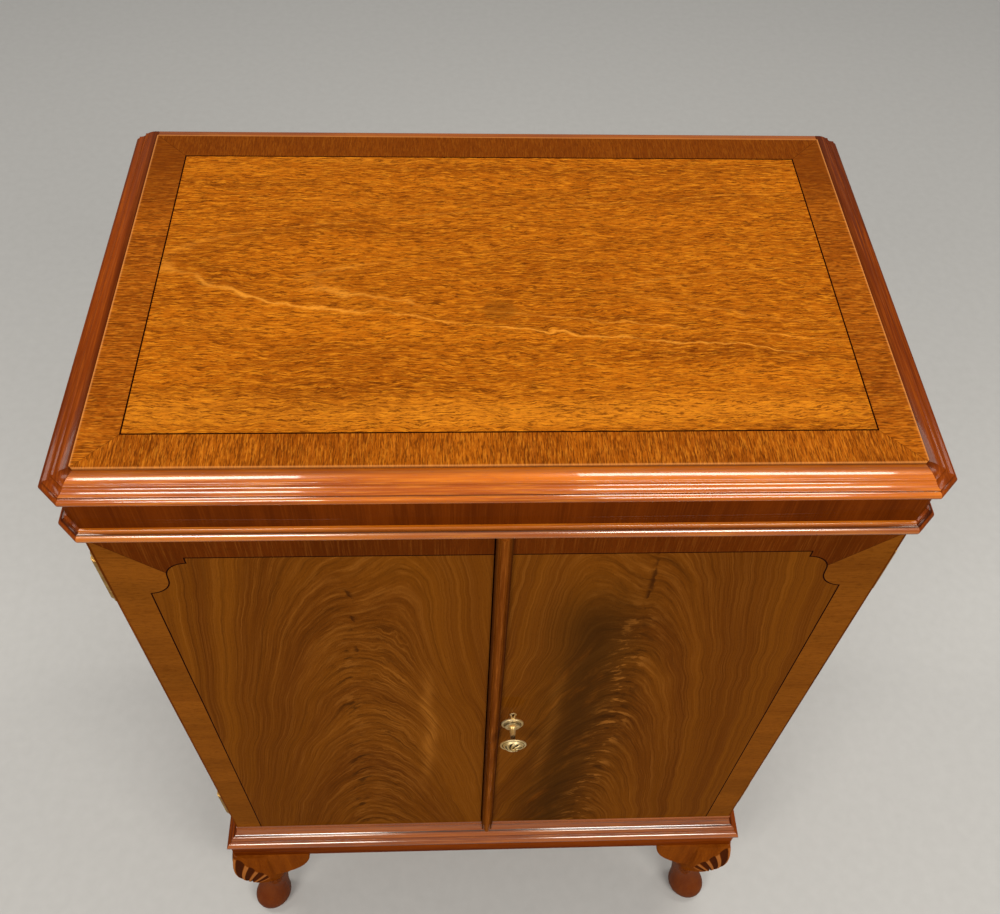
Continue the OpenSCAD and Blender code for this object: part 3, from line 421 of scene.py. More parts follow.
# %% The borders of the doors
def door_band_finish():
    f = Finish("crossband of the doors")
    to_side = case_half - abs(f.x)
    to_head = door_head - f.z
    side = to_head > to_side
    along = f.mix_value(side, f.z, f.x)
    across = f.mix_value(side, f.x + 2.0, f.z)
    streak, stripe, pores = grain(f, along, across, 0.0, 33.0)
    patch = f.noise(along * 4, across * 13, 8.0, detail=3)
    head = f.mix(f.step(patch, 0.3, 0.7), paint(86, 35, 2), paint(106, 46, 4))
    upright = f.mix(f.step(patch, 0.3, 0.7), paint(124, 69, 14), paint(142, 80, 18))
    colour = f.mix(side, head, upright)
    colour = f.mix(f.step(streak, 0.42, 0.72) * 0.3, colour, paint(96, 44, 5))
    mottle = f.noise(along * 110, across * 420, 6.0, detail=3, rough=0.65)
    colour = f.mix(f.step(mottle, 0.5, 0.66) * 0.35, colour, paint(78, 34, 3))
    colour = f.mix(f.step(stripe, 0.45, 0.8) * 0.25, colour, paint(176, 104, 36))
    colour = f.mix(pores * 0.35, colour, paint(66, 26, 3))
    joint = (to_side - to_head).bell(0.0006)
    colour = f.mix(joint * 0.6, colour, paint(56, 22, 3))
    rough = 0.2 + 0.1 * stripe + 0.12 * pores
    return f.close(colour, rough, stripe * 0.2 - pores * 0.8, 0.00006, SHEEN)


door_band = door_band_finish()
print("crossbands:", lid_band.name, door_band.name)

# %% [markdown]
# ## Flame veneer
# The doors are cut from where a trunk forks. The fibres of the two limbs press into each other, so
# a ribbed spine stands in the middle, and from its crest the fibres fall to both sides like the
# water of a fountain, steeper the further they are. Above the fork those on the inner side turn
# upward. The finish measures u, the distance from the spine, and adds a parabola of u to the
# height: noise along that bent height draws every fibre on its arch. The two doors are leaves of
# one flitch, laid like an open book, but the right leaf has a broad dark plume beside its spine.

# %% The flame of one door
def flame_finish(name, side, dusk, steep_out, steep_in, seed):
    """Side is -1 for the left door and 1 for the right, dusk is 1 for the dark plume."""
    f = Finish(name)
    low = 1 - f.step(f.z, 0.30, 0.66)
    sway = (f.noise(f.z * 14, seed, 0.0, detail=2) - 0.5) * 0.014
    u = (f.x * side - 0.119 + low * 0.012 * side) + sway
    outer = f.step(u, -0.004, 0.004)
    turn = f.step(f.z, 0.72, 0.92) * (1 - outer) * u.bell(0.07) * 2.6
    curve = u * u * f.mix_value(outer, steep_in, steep_out)
    stir = f.noise(f.x * 12, f.z * 6, seed, detail=3, rough=0.5) - 0.5
    tremble = f.noise(f.x * 70, f.z * 26, seed + 7, detail=3) - 0.5
    height = f.z + curve * (1 - turn) + stir * 0.03 + tremble * 0.006
    spine = (u + 0.004).bell(0.03)
    drift = u + stir * 0.01
    broad = f.noise(height * 9, drift * 5, seed + 5, detail=2, rough=0.5)
    limb = f.noise(height * 52, drift * 5, seed, detail=6, rough=0.78)
    barb = f.noise(height * 120, drift * 16, seed + 9, detail=3, rough=0.6)
    dash = f.step(f.noise(f.z * 150 + height * 60, f.x * 1300, seed + 2, detail=1), 0.6, 0.75)
    brown = paint(124, 68, 10)
    deep = paint(104, 53, 7)
    pale = paint(168, 104, 36)
    dark = paint(64, 30, 3)
    colour = f.mix(f.step(broad, 0.3, 0.7), deep, brown)
    inner_part = u.bell(0.09) * 0.45 + 0.55
    colour = f.mix(f.step(limb, 0.52, 0.72) * inner_part * 0.42, colour, pale)
    colour = f.mix(f.step(limb, 0.49, 0.32) * inner_part * 0.55, colour, dark)
    fibre = f.noise(height * 260, u * 60, seed + 21, detail=3, rough=0.7)
    colour = f.mix(f.step(fibre, 0.5, 0.7) * 0.22, colour, pale)
    colour = f.mix(f.step(fibre, 0.5, 0.3) * 0.3, colour, dark)
    colour = f.mix(f.step(barb, 0.5, 0.75) * (0.16 + 0.3 * spine), colour, pale)
    colour = f.mix(f.step(barb, 0.5, 0.28) * (0.2 + 0.35 * spine), colour, dark)
    fork = 1 - f.step(f.z, 0.74, 0.9)
    rib = f.noise(height * 330 + tremble * 8, u * 18, seed + 3, detail=2)
    ribbed = (u + 0.026).bell(0.03) * fork * (1 - 0.8 * dusk)
    colour = f.mix(f.step(rib, 0.52, 0.68) * ribbed * 0.4, colour, pale)
    colour = f.mix(f.step(rib, 0.48, 0.32) * ribbed * 0.4, colour, dark)
    smoke = f.noise(height * 20, u * 26, seed + 11, detail=5, rough=0.6)
    wide = 0.018 + 0.026 * dusk
    torn = f.step(smoke, 0.6 - 0.4 * dusk, 0.72 - 0.22 * dusk)
    plume = (u + 0.012 + 0.022 * dusk).bell(wide) * torn
    fall = 1 - f.step(f.z, 0.74 + 0.06 * dusk, 0.82 + 0.1 * dusk)
    colour = f.mix(plume * fall * (0.62 + 0.16 * dusk), colour, paint(54, 31, 6))
    clot = f.noise(height * 80, u * 34, seed + 15, detail=4, rough=0.65)
    clots = (u - 0.012 + 0.012 * dusk).bell(0.016) * fork
    colour = f.mix(f.step(clot, 0.54, 0.64) * clots * 0.7, colour, paint(52, 26, 4))
    gap = f.step(clot, 0.45, 0.37) * clots * (0.3 + 0.4 * dusk)
    colour = f.mix(gap, colour, paint(168, 104, 38))
    streak = (u + 0.058 + stir * 0.03).bell(0.006) * f.step(f.z, 0.40, 0.55)
    streak = streak * (1 - f.step(f.z, 0.66, 0.76)) * f.step(barb, 0.3, 0.6)
    colour = f.mix(streak * (0.45 - 0.3 * dusk), colour, paint(186, 116, 40))
    spot = f.noise(f.z * 50, f.x * 90, seed + 1, detail=2)
    knot = (u - sway).bell(0.0024) * f.step(spot, 0.54, 0.62) * f.step(f.z, 0.7, 0.78)
    colour = f.mix(knot * 0.7, colour, paint(44, 18, 4))
    colour = f.mix(dash * 0.3, colour, paint(60, 28, 4))
    rough = 0.16 + 0.1 * barb + 0.1 * dash
    return f.close(colour, rough, barb * 0.3 - dash * 0.8, 0.00005, SHEEN)


left_flame = flame_finish("flame veneer of the left door", -1, 0.0, 30, 26, 3.0)
right_flame = flame_finish("flame veneer of the right door", 1, 1.0, 42, 24, 41.0)
print("flames:", left_flame.name, right_flame.name)

# %% [markdown]
# ## Frieze, stringing, inside, brass and mirror
# The frieze is crossbanded: its grain stands upright. The stringing is a thread of dyed wood. The
# boards inside are plain and only waxed. The brass was lacquered long ago: the hinges have aged,
# the knob is gold where hands rub it and brown in its hollows, and its neck under the head is
# darkened as painted shade. The mirror is bright, with a little haze.

# %% The remaining finishes
frieze_tones = (paint(122, 56, 9), paint(108, 45, 3), paint(88, 34, 2))
frieze_finish = solid_wood("crossband of the frieze", "z", frieze_tones, 51.0, (), SHEEN)
side_tones = (paint(160, 88, 34), paint(130, 62, 16), paint(92, 38, 8))
side_finish = solid_wood("veneer of the case sides", "z", side_tones, 63.0, (), POLISH)


def string_finish():
    f = Finish("dark stringing")
    fleck = f.noise(f.x * 300, f.y * 300, f.z * 300, detail=2)
    colour = f.mix(fleck, paint(14, 2, 0), paint(40, 10, 3))
    return f.close(colour, 0.24 + 0.1 * fleck, fleck, 0.00002, SHEEN)


def waxed_wood(name, axis, seed):
    f = Finish(name)
    order = {"x": (f.x, f.y, f.z), "z": (f.z, f.x, f.y)}[axis]
    streak, stripe, pores = grain(f, *order, seed=seed)
    colour = f.mix(f.step(streak, 0.3, 0.7), paint(108, 58, 20), paint(144, 84, 34))
    colour = f.mix(stripe * 0.35, colour, paint(170, 106, 50))
    colour = f.mix(pores * 0.5, colour, paint(74, 38, 14))
    rough = 0.42 + 0.15 * stripe + 0.15 * pores
    return f.close(colour, rough, stripe * 0.3 - pores, 0.00008, {"Specular IOR Level": 0.2})


rose_groove = 7.9 * mm
rose_out = 7 * mm


def brass_finish(name, dull, bright, metal, hollow=None):
    f = Finish(name)
    cloud = f.noise(f.x * 120, f.y * 120, f.z * 120, detail=4, rough=0.6)
    fine = f.noise(f.x * 1400, f.y * 1400, f.z * 1400, detail=2)
    colour = f.mix(f.step(cloud, 0.35, 0.7), dull, bright)
    if hollow:
        # the hollow attribute darkens the chased hollows and the rim's groove as dirt, and the
        # knob's neck as painted shade
        dirt_and_shade = f.add("Attribute", {"attribute_name": hollow}, {}, out="Fac")
        colour = f.mix(f.step(dirt_and_shade, 0.15, 0.7), colour, paint(34, 24, 10))
        low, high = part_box("knob")
        across = f.x - (low.x + high.x) / 2
        rise = f.z - (low.z + high.z) / 2
        radius = (across * across + rise * rise).root()
        ring = (radius - rose_groove).bell(0.6 * mm) * (f.y > door_face - rose_out)
        colour = f.mix(ring * 0.7, colour, paint(34, 24, 10))
    rough = 0.34 + 0.12 * cloud + 0.05 * fine
    return f.close(colour, rough, fine + cloud, 0.00003, {"Metallic": metal})


def mirror_finish():
    f = Finish("mirror glass")
    haze = f.noise(f.x * 6, f.y * 6, f.z * 6, detail=3)
    colour = f.mix(haze, paint(222, 230, 230), paint(236, 242, 242))
    return f.close(colour, 0.015 + 0.02 * haze, haze, 0.00001, {"Metallic": 1.0})


string_wood = string_finish()
inside_x = waxed_wood("waxed boards lying", "x", 5.0)
inside_z = waxed_wood("waxed boards standing", "z", 17.0)
aged = (paint(186, 142, 74), paint(224, 184, 108))
brass = brass_finish("aged brass of the hinges", *aged, 0.7)
rubbed = (paint(236, 196, 120), paint(252, 230, 176))
bright_brass = brass_finish("rubbed brass of the knob", *rubbed, 0.75, "hollow")
mirror = mirror_finish()
print("finishes:", len(bpy.data.materials))

# %% [markdown]
# ## Dress the flat boards
# A board whose shape is right keeps its solid and takes its finish: the veneers, the inside boards,
# the mirror. Nothing of the frame is moved.

# %% Finishes on the frame's own boards
def dress(finish, *names):
    for name in names:
        slots = nodes[name].data.materials
        slots.clear()
        slots.append(finish)


dress(field_finish, "lid_field")
dress(string_wood, "lid_stringing", "left_door_stringing", "right_door_stringing")
dress(left_flame, "left_door_flame")
dress(right_flame, "right_door_flame")
dress(door_band, "left_door_crossband", "right_door_crossband")
dress(inside_x, "bar_deck", "well_front", "case_bottom", "shelf", "top_back_rail")
dress(inside_x, "apron_back", "lid_board")
dress(inside_z, "back_panel")
dress(mirror, "lid_mirror")
dress(brass, "bolt_plate", "door_bolt", "lock_case", "lock_bolt")
print("boards dressed")

# %% [markdown]
# ## Soften the arrises
# A real moulding has no knife edge: sandpaper and polish round every arris by a few tenths of a
# millimetre, and that round is what catches the light as a fine bright line. A copy of the board is
# taken, its loose triangles are merged to faces, and a Bevel modifier rounds each edge. The curved
# faces are then shaded smooth, and the copy stands for the board.

# %% A softened copy of a board
def deselect_all():
    for other in bpy.context.view_layer.objects:
        other.select_set(False)


def alone(piece):
    deselect_all()
    piece.select_set(True)
    bpy.context.view_layer.objects.active = piece


touching = 0.01 * mm
flat_deg = 0.6


def soften(node, finish, round_mm=0.4, smooth_deg=40, segments=2, sharp_deg=28):
    piece = bpy.data.objects.new(node + "_eased", nodes[node].data.copy())
    scene.collection.objects.link(piece)
    alone(piece)
    bpy.ops.object.mode_set(mode="EDIT")
    bpy.ops.mesh.select_all(action="SELECT")
    bpy.ops.mesh.remove_doubles(threshold=touching)
    bpy.ops.mesh.dissolve_limited(angle_limit=math.radians(flat_deg))
    bpy.ops.mesh.normals_make_consistent(inside=False)
    bpy.ops.object.mode_set(mode="OBJECT")
    ease = piece.modifiers.new("ease", "BEVEL")
    ease.width = round_mm * mm
    ease.segments = segments
    ease.limit_method = "ANGLE"
    ease.angle_limit = math.radians(sharp_deg)
    ease.use_clamp_overlap = True
    bpy.ops.object.modifier_apply(modifier=ease.name)
    bpy.ops.object.shade_smooth_by_angle(angle=math.radians(smooth_deg))
    piece.data.materials.clear()
    piece.data.materials.append(finish)
    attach(piece, nodes[node]["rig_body"])
    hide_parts(node)
    return piece


def to_rim(place):
    """How far a point lies inside the rim of the lid's panel."""
    return min(panel_half - abs(place.x), place.y - panel_front, panel_back - place.y)


def ease_border():
    """The lid's border: only its outer upper edge is rounded, the inner one meets the string."""
    piece = soften("lid_crossband", lid_band, 0.01, 30, segments=1, sharp_deg=80)
    alone(piece)
    bpy.ops.object.mode_set(mode="EDIT")
    bpy.ops.mesh.select_all(action="DESELECT")
    mesh = bmesh.from_edit_mesh(piece.data)
    top = max(v.co.z for v in mesh.verts)
    for edge in mesh.edges:
        ends = [v.co for v in edge.verts]
        level = all(c.z > top - touching for c in ends)
        outer = all(to_rim(c) < 20 * mm for c in ends)
        square = len(edge.link_faces) == 2 and edge.calc_face_angle(0) > 1.2
        edge.select = level and outer and square
    bmesh.update_edit_mesh(piece.data)
    bpy.ops.mesh.bevel(offset=0.7 * mm, segments=3, affect="EDGES")
    bpy.ops.object.mode_set(mode="OBJECT")
    bpy.ops.object.shade_smooth_by_angle(angle=math.radians(50))
    return piece


boards = [
    (wood_x, 0.4, ("lid_moulding_front", "lid_back_lipping")),
    (wood_y_shaded, 0.4, ("lid_moulding_left", "lid_moulding_right", "lid_moulding_corners")),
    (wood_waist, 0.4, ("waist_front",)),
    (wood_base, 0.4, ("base_moulding_front",)),
    (wood_y_shaded, 0.4, ("waist_left", "waist_right", "waist_corners")),
    (wood_y_shaded, 0.4, ("base_moulding_left", "base_moulding_right")),
    (wood_apron, 0.6, ("apron_front",)),
    (wood_y_shaded, 0.6, ("apron_left", "apron_right")),
    (frieze_finish, 0.3, ("frieze_front", "frieze_left", "frieze_right", "frieze_corners")),
    (side_finish, 0.3, ("left_side", "right_side")),
    (wood_z, 0.3, ("left_door_board", "right_door_board")),
    (wood_bead, 0.3, ("meeting_bead",)),
    (wood_x, 0.8, ("mirror_beading",)),
]
fittings = [
    (bright_brass, ("knob_rose", "keyhole_plate")),
    (brass, ("hinge_pins", "lid_hinge_upper_leaves", "lid_hinge_lower_leaves")),
    (brass, ("case_hinge_leaves", "left_door_hinge_leaves", "right_door_hinge_leaves")),
]
eased = [ease_border()]
for finish, round_mm, names in boards:
    eased += [soften(name, finish, round_mm) for name in names]
for finish, names in fittings:
    eased += [soften(name, finish, 0.12, 50) for name in names]
print("softened:", len(eased), "boards,", sum(len(p.data.polygons) for p in eased), "faces")

# %% [markdown]
# ## The legs
# A cabriole leg is a free curve in two directions: it starts as the square of its post, swells to
# the knee, thins to the ankle and ends in a round pad. A disc is added for the pad and extruded up
# ring by ring; each ring takes its middle, its two half widths and its squareness from a short
# table. The knee blocks are glued on both sides, and the carver blends them into the knee, so the
# three forms are fused by a voxel remesh and smoothed. The fan is cut last.

# %% The leg's table
leg_height = 235 * mm
corner_x = 311.6 * mm
corner_front = door_face - 11.6 * mm
leg_spare = 4 * mm
leg_trim = 0.4 * mm

# Share of the height, then in millimetres the middle and two half widths, then the squareness.
leg_rows = [
    (0.000, -16.5, 21, 18.5, 2.0),
    (0.025, -16.0, 24, 21.5, 2.0),
    (0.060, -15.8, 25.5, 23, 2.0),
    (0.105, -17.0, 24, 21.5, 2.0),
    (0.160, -21.5, 18.5, 17, 2.0),
    (0.230, -26.0, 14.5, 14.5, 2.0),
    (0.330, -26.5, 15.5, 15.5, 1.9),
    (0.460, -22.5, 21.5, 21, 1.75),
    (0.600, -17.5, 28.5, 28, 1.5),
    (0.720, -15.5, 32, 32, 1.32),
    (0.840, -15.5, 32, 32.5, 1.25),
    (0.940, -17.0, 30, 30.5, 1.2),
    (1.000, -18.0, 27.5, 28.5, 1.15),
]


def leg_row(share):
    """The four values at a share of the height, on a smooth curve through the table."""
    i = max(k for k, row in enumerate(leg_rows[:-1]) if row[0] <= share)
    rows = [leg_rows[max(0, min(len(leg_rows) - 1, k))] for k in (i - 1, i, i + 1, i + 2)]
    t = min((share - rows[1][0]) / (rows[2][0] - rows[1][0]), 1.0)
    values = []
    for a, b, c, d in zip(*[row[1:] for row in rows]):
        bend = 2 * a - 5 * b + 4 * c - d + t * (3 * (b - c) + d - a)
        values.append(b + 0.5 * t * (c - a + t * bend))
    return values


def leg_point(share, turn):
    """A point of the front right leg, with the apron's corner at the origin and Y to the back."""
    middle, along, across, power = leg_row(share)
    sides = abs(math.cos(turn) / along) ** power + abs(math.sin(turn) / across) ** power
    radius = sides ** (-1 / power)
    a = radius * math.cos(turn)
    b = radius * math.sin(turn)
    x = middle + (a - b) / math.sqrt(2)
    y = -middle - (a + b) / math.sqrt(2)
    return Vector((x * mm, y * mm, share * leg_height))


print("ankle:", [round(v, 1) for v in leg_row(0.27)])

# %% Extrude the leg ring by ring
leg_sides = 48
leg_rings = 48


def place_ring(mesh, share):
    """Puts the selected ring on the leg's surface."""
    ring = [v for v in mesh.verts if v.select]
    centre = sum((v.co for v in ring), Vector()) / len(ring)

    def turn(v):
        return math.atan2(v.co.y - centre.y, v.co.x - centre.x)

    ring.sort(key=turn)
    first = min(range(len(ring)), key=lambda k: abs(turn(ring[k]) + math.pi / 4))
    for k in range(len(ring)):
        ring[(first + k) % len(ring)].co = leg_point(share, -2 * math.pi * k / len(ring))


def raise_selected(height):
    bpy.ops.mesh.extrude_region_move(TRANSFORM_OT_translate={"value": (0, 0, height)})


def extruded_leg():
    bpy.ops.mesh.primitive_circle_add(
        vertices=leg_sides,
        radius=20 * mm,
        fill_type="NGON",
        location=(0, 0, 0),
    )
    leg = bpy.context.object
    bpy.ops.object.mode_set(mode="EDIT")
    bpy.ops.mesh.select_all(action="SELECT")
    mesh = bmesh.from_edit_mesh(leg.data)
    place_ring(mesh, 0.0)
    for ring in range(1, leg_rings + 1):
        raise_selected(leg_height / leg_rings)
        mesh = bmesh.from_edit_mesh(leg.data)
        place_ring(mesh, ring / leg_rings)
    raise_selected(leg_spare)
    bmesh.update_edit_mesh(leg.data)
    bpy.ops.mesh.select_all(action="SELECT")
    bpy.ops.mesh.normals_make_consistent(inside=False)
    bpy.ops.object.mode_set(mode="OBJECT")
    return leg


deselect_all()
leg = extruded_leg()
print("leg rings:", leg_rings, "faces:", len(leg.data.polygons))

# %% [markdown]
# ### The knee blocks
# Each block is a quarter of an oval board: an upright inner end, a long sweep back to the knee. It
# stands a little less than a millimetre proud of the apron and swells towards the knee. A cylinder
# is added across, drawn to the oval, and its upper and outer parts are sawn off with two bisects.

# %% Shape one knee block
ear_reach = 92 * mm
ear_start = 20 * mm
ear_depth = 84 * mm
ear_thick = 24 * mm
ear_proud = 0.8 * mm
ear_swell = 1.4 * mm
ear_inside = 6 * mm


def saw_off(place, normal):
    """Takes away what lies beyond a plane, and closes the cut."""
    bpy.ops.mesh.select_all(action="SELECT")
    bpy.ops.mesh.bisect(plane_co=place, plane_no=normal, use_fill=True, clear_outer=True)


def clamp(share):
    return max(0.0, min(1.0, share))


def knee_block():
    deselect_all()
    middle = (-ear_start, ear_thick / 2 - ear_proud, leg_height)
    bpy.ops.mesh.primitive_cylinder_add(
        vertices=128,
        radius=1,
        depth=ear_thick,
        location=middle,
        rotation=(math.pi / 2, 0, 0),
    )
    block = bpy.context.object
    bpy.ops.object.transform_apply(location=True, rotation=True, scale=True)
    bpy.ops.object.mode_set(mode="EDIT")
    bpy.ops.mesh.select_all(action="SELECT")
    oval = (ear_reach - ear_start, 1, ear_depth)
    bpy.ops.transform.resize(value=oval, center_override=middle)
    saw_off((0, 0, leg_height), (0, 0, 1))
    mesh = bmesh.from_edit_mesh(block.data)
    for face in mesh.faces:
        at_top = face.calc_center_median().z > leg_height - 0.1 * mm
        face.select = face.normal.z > 0.9 and at_top
    bmesh.update_edit_mesh(block.data)
    raise_selected(leg_spare)
    saw_off((-ear_start + ear_inside, 0, 0), (1, 0, 0))
    for cut in range(7, 78, 7):
        bpy.ops.mesh.select_all(action="SELECT")
        bpy.ops.mesh.bisect(plane_co=(-ear_reach + cut * mm, 0, 0), plane_no=(1, 0, 0))
    bpy.ops.object.mode_set(mode="OBJECT")
    for v in block.data.vertices:
        if v.co.y < 0:
            near = clamp((v.co.x + ear_reach) / (ear_reach - ear_start))
            v.co.y -= ear_swell * near * near
    return block


across_corner = Matrix(((0, -1, 0, 0), (-1, 0, 0, 0), (0, 0, 1, 0), (0, 0, 0, 1)))


def fuse_leg(leg):
    """Joins the leg, a knee block and its mirror copy on the other side into one carved form."""
    block = knee_block()
    alone(block)
    bpy.ops.object.duplicate()
    other = bpy.context.object
    other.data.transform(across_corner)
    other.data.flip_normals()
    deselect_all()
    for piece in (leg, block, other):
        piece.select_set(True)
    bpy.context.view_layer.objects.active = leg
    bpy.ops.object.join()
    melt = leg.modifiers.new("melt", "REMESH")
    melt.mode = "VOXEL"
    melt.voxel_size = 1.1 * mm
    bpy.ops.object.modifier_apply(modifier=melt.name)
    soft = leg.modifiers.new("soft", "SMOOTH")
    soft.factor = 0.5
    soft.iterations = 8
    bpy.ops.object.modifier_apply(modifier=soft.name)
    bpy.ops.object.mode_set(mode="EDIT")
    saw_off((0, 0, leg_height - leg_trim), (0, 0, 1))
    bpy.ops.object.mode_set(mode="OBJECT")
    return leg


leg = fuse_leg(leg)
print("fused leg:", len(leg.data.polygons), "faces")

# %% [markdown]
# ### The fan
# The knee carries a small fan: hollow flutes with ribs between them, spreading upwards from a root
# low on the knee's corner and ending in a row of scallops. Each flute is one stroke of a gouge. The
# cut is worked out point by point: the angle round the root says how deep the gouge goes, the
# distance says where the stroke stops. The depth is kept as an attribute, so the hollows can be
# painted darker, for dark polish and as painted shade, and the ribs lighter, as a painted
# highlight.

# %% Cut the fan
fan_root = 112
fan_ribs = (0, 8, 15, 22.5, 30)
fan_start = 14
fan_top = 229
fan_half = 30
fan_behind = -46 * mm
fan_field = 48 * mm
facing_out = 0.3
flute_share = 0.7
scallop = 4
gouge_depth = 2 * mm


def fan_depth(co):
    """How deep the gouge goes at a point of the knee, from 0 to 1, or -0.5 on a rib.

    Distances are in millimetres, and the lean from the upright in degrees.
    """
    aside = abs(co.x + co.y) / math.sqrt(2) / mm
    rise = co.z / mm - fan_root
    if co.x - co.y < fan_behind or rise < fan_start or aside > fan_half:
        return 0.0
    lean = math.degrees(math.atan2(aside, rise))
    flutes = [pair for pair in zip(fan_ribs, fan_ribs[1:]) if pair[0] <= lean < pair[1]]
    if not flutes:
        return 0.0
    first, last = flutes[0]
    across = abs(2 * lean - first - last) / (last - first)
    hollow = 0.0
    if across < flute_share:
        hollow = math.sqrt(1 - (across / flute_share) ** 2)
    slope = 0.5 * aside + 0.035 * aside * aside
    end = fan_top - slope + scallop * (1 - across ** 2) - fan_root
    top = clamp((end - rise) / 3.5)
    foot = clamp((rise - fan_start) / 16)
    return (1.5 * hollow - 0.5) * top * foot


def carve(leg):
    alone(leg)
    bpy.ops.object.mode_set(mode="EDIT")
    bpy.ops.mesh.select_all(action="DESELECT")
    mesh = bmesh.from_edit_mesh(leg.data)
    for face in mesh.faces:
        middle = face.calc_center_median()
        on_knee = middle.z > fan_root * mm and abs(middle.x + middle.y) < fan_field
        face.select = on_knee and face.normal.x - face.normal.y > facing_out
    bmesh.update_edit_mesh(leg.data)
    bpy.ops.mesh.subdivide(number_cuts=1)
    bpy.ops.object.mode_set(mode="OBJECT")
    hollow = leg.data.attributes.new("hollow", "FLOAT", "POINT")
    moves = []
    for v in leg.data.vertices:
        outside = v.normal.x - v.normal.y > facing_out
        depth = fan_depth(v.co) if outside else 0.0
        moves.append((v.index, depth, v.normal.copy()))
    for index, depth, normal in moves:
        hollow.data[index].value = depth
        leg.data.vertices[index].co -= normal * max(depth, 0) * gouge_depth
    return leg


leg = carve(leg)
print("carved points:", sum(1 for a in leg.data.attributes["hollow"].data if a.value > 0.05))

# %% [markdown]
# ### Four legs
# The other three are mirror copies, each with its own mesh. A mirror turns a shape inside out, so
# where a copy is mirrored in only one direction its normals are flipped.

# %% Place the four legs
def leg_finish():
    f = Finish("mahogany of the legs")
    streak, stripe, pores = grain(f, f.z, f.x, f.y, 71.0)
    colour = f.mix(f.step(streak, 0.32, 0.68), paint(112, 50, 6), paint(136, 67, 10))
    colour = f.mix(f.step(stripe, 0.42, 0.8) * 0.3, colour, paint(168, 94, 24))
    colour = f.mix(pores * 0.5, colour, paint(74, 26, 6))
    foot = 1 - f.step(f.z, 0.05, 0.13)
    colour = f.mix(foot * 0.55, colour, paint(92, 34, 6))
    cut = f.add("Attribute", {"attribute_name": "hollow"}, {}, out="Fac")
    # the flutes of the fan are darker: dark polish, and painted shade in the hollows
    colour = f.mix(f.step(cut, 0.0, 0.5) * 0.85, colour, paint(58, 22, 8))
    # painted highlight: the ribs between the flutes are lighter
    colour = f.mix(f.step(cut, -0.05, -0.4) * 0.6, colour, paint(196, 122, 60))
    peel = f.noise(f.x * 90, f.y * 90, f.z * 90, detail=1)
    rough = 0.18 + 0.1 * stripe + 0.1 * pores
    gloss = {"Specular IOR Level": 0.0, "Coat Roughness": 0.1, "Coat IOR": 1.6}
    gloss["Coat Weight"] = 0.05 + 0.6 * (1 - f.step(f.z, 0.07, 0.12))
    return f.close(colour, rough, stripe * 0.2 + peel * 0.4 - pores * 0.7, 0.00004, gloss)


leg_wood = leg_finish()


def place_leg(name, mirror_x, mirror_y):
    piece = bpy.data.objects.new(name + "_carved", leg.data.copy())
    scene.collection.objects.link(piece)
    corner = Vector((corner_x * mirror_x, corner_front if mirror_y > 0 else case_back, 0))
    move = Matrix.Translation(corner) @ Matrix.Diagonal((mirror_x, mirror_y, 1, 1))
    piece.data.transform(move)
    if mirror_x * mirror_y < 0:
        piece.data.flip_normals()
    alone(piece)
    bpy.ops.object.shade_smooth_by_angle(angle=math.radians(60))
    piece.data.materials.clear()
    piece.data.materials.append(leg_wood)
    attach(piece, "cabinet")
    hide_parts(name)
    return piece


legs = [
    place_leg("leg_front_right", 1, 1),
    place_leg("leg_front_left", -1, 1),
    place_leg("leg_back_right", 1, -1),
    place_leg("leg_back_left", -1, -1),
]
bpy.data.objects.remove(leg)
print("legs:", [p.name for p in legs])

# %% [markdown]
# ## The knob
# The knob is turned brass: a collar, a stem that tapers and a round head. Its outline is drawn from
# one point, extruded corner by corner, and spun round the axis. The head was chased with a small
# rosette: a button and curled petals inside a rim. The spin has many steps, so the petals can be
# pressed into its face: a wave round the axis that leans with the distance from the middle.

# %% Spin the knob
knob_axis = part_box("knob")
knob_middle = (knob_axis[0] + knob_axis[1]) / 2
knob_out = (door_face - knob_axis[0].y) / mm
head_radius = (knob_axis[1].x - knob_axis[0].x) / 2 / mm
face_radius = head_radius - 3.2
collar_out = 4.8


def spun(name, outline, steps):
    """Spins an outline of radius and distance out of the door, in millimetres, round the axis."""
    deselect_all()
    radius, out = outline[0]
    centre = Vector((knob_middle.x, door_face, knob_middle.z))
    start = centre + Vector((radius * mm, -out * mm, 0))
    bpy.ops.mesh.primitive_plane_add(size=1 * mm, location=start)
    piece = bpy.context.object
    piece.name = name
    bpy.ops.object.transform_apply(location=True, rotation=True, scale=True)
    bpy.ops.object.mode_set(mode="EDIT")
    bpy.ops.mesh.select_all(action="SELECT")
    bpy.ops.mesh.merge(type="CENTER")
    for (r0, o0), (r1, o1) in zip(outline, outline[1:]):
        step = ((r1 - r0) * mm, -(o1 - o0) * mm, 0)
        bpy.ops.mesh.extrude_vertices_move(TRANSFORM_OT_translate={"value": step})
    bpy.ops.mesh.select_all(action="SELECT")
    bpy.ops.mesh.spin(steps=steps, angle=2 * math.pi, center=centre, axis=(0, 1, 0))
    bpy.ops.mesh.select_all(action="SELECT")
    bpy.ops.mesh.remove_doubles(threshold=0.000004)
    bpy.ops.mesh.normals_make_consistent(inside=False)
    bpy.ops.object.mode_set(mode="OBJECT")
    return piece


def round_run(radius, out, wide, high, first, last, steps):
    """Points of an outline on an arc of an oval, from the first angle to the last in degrees."""
    turns = [math.radians(first + (last - first) * k / steps) for k in range(steps + 1)]
    return [(radius + wide * math.cos(t), out + high * math.sin(t)) for t in turns]


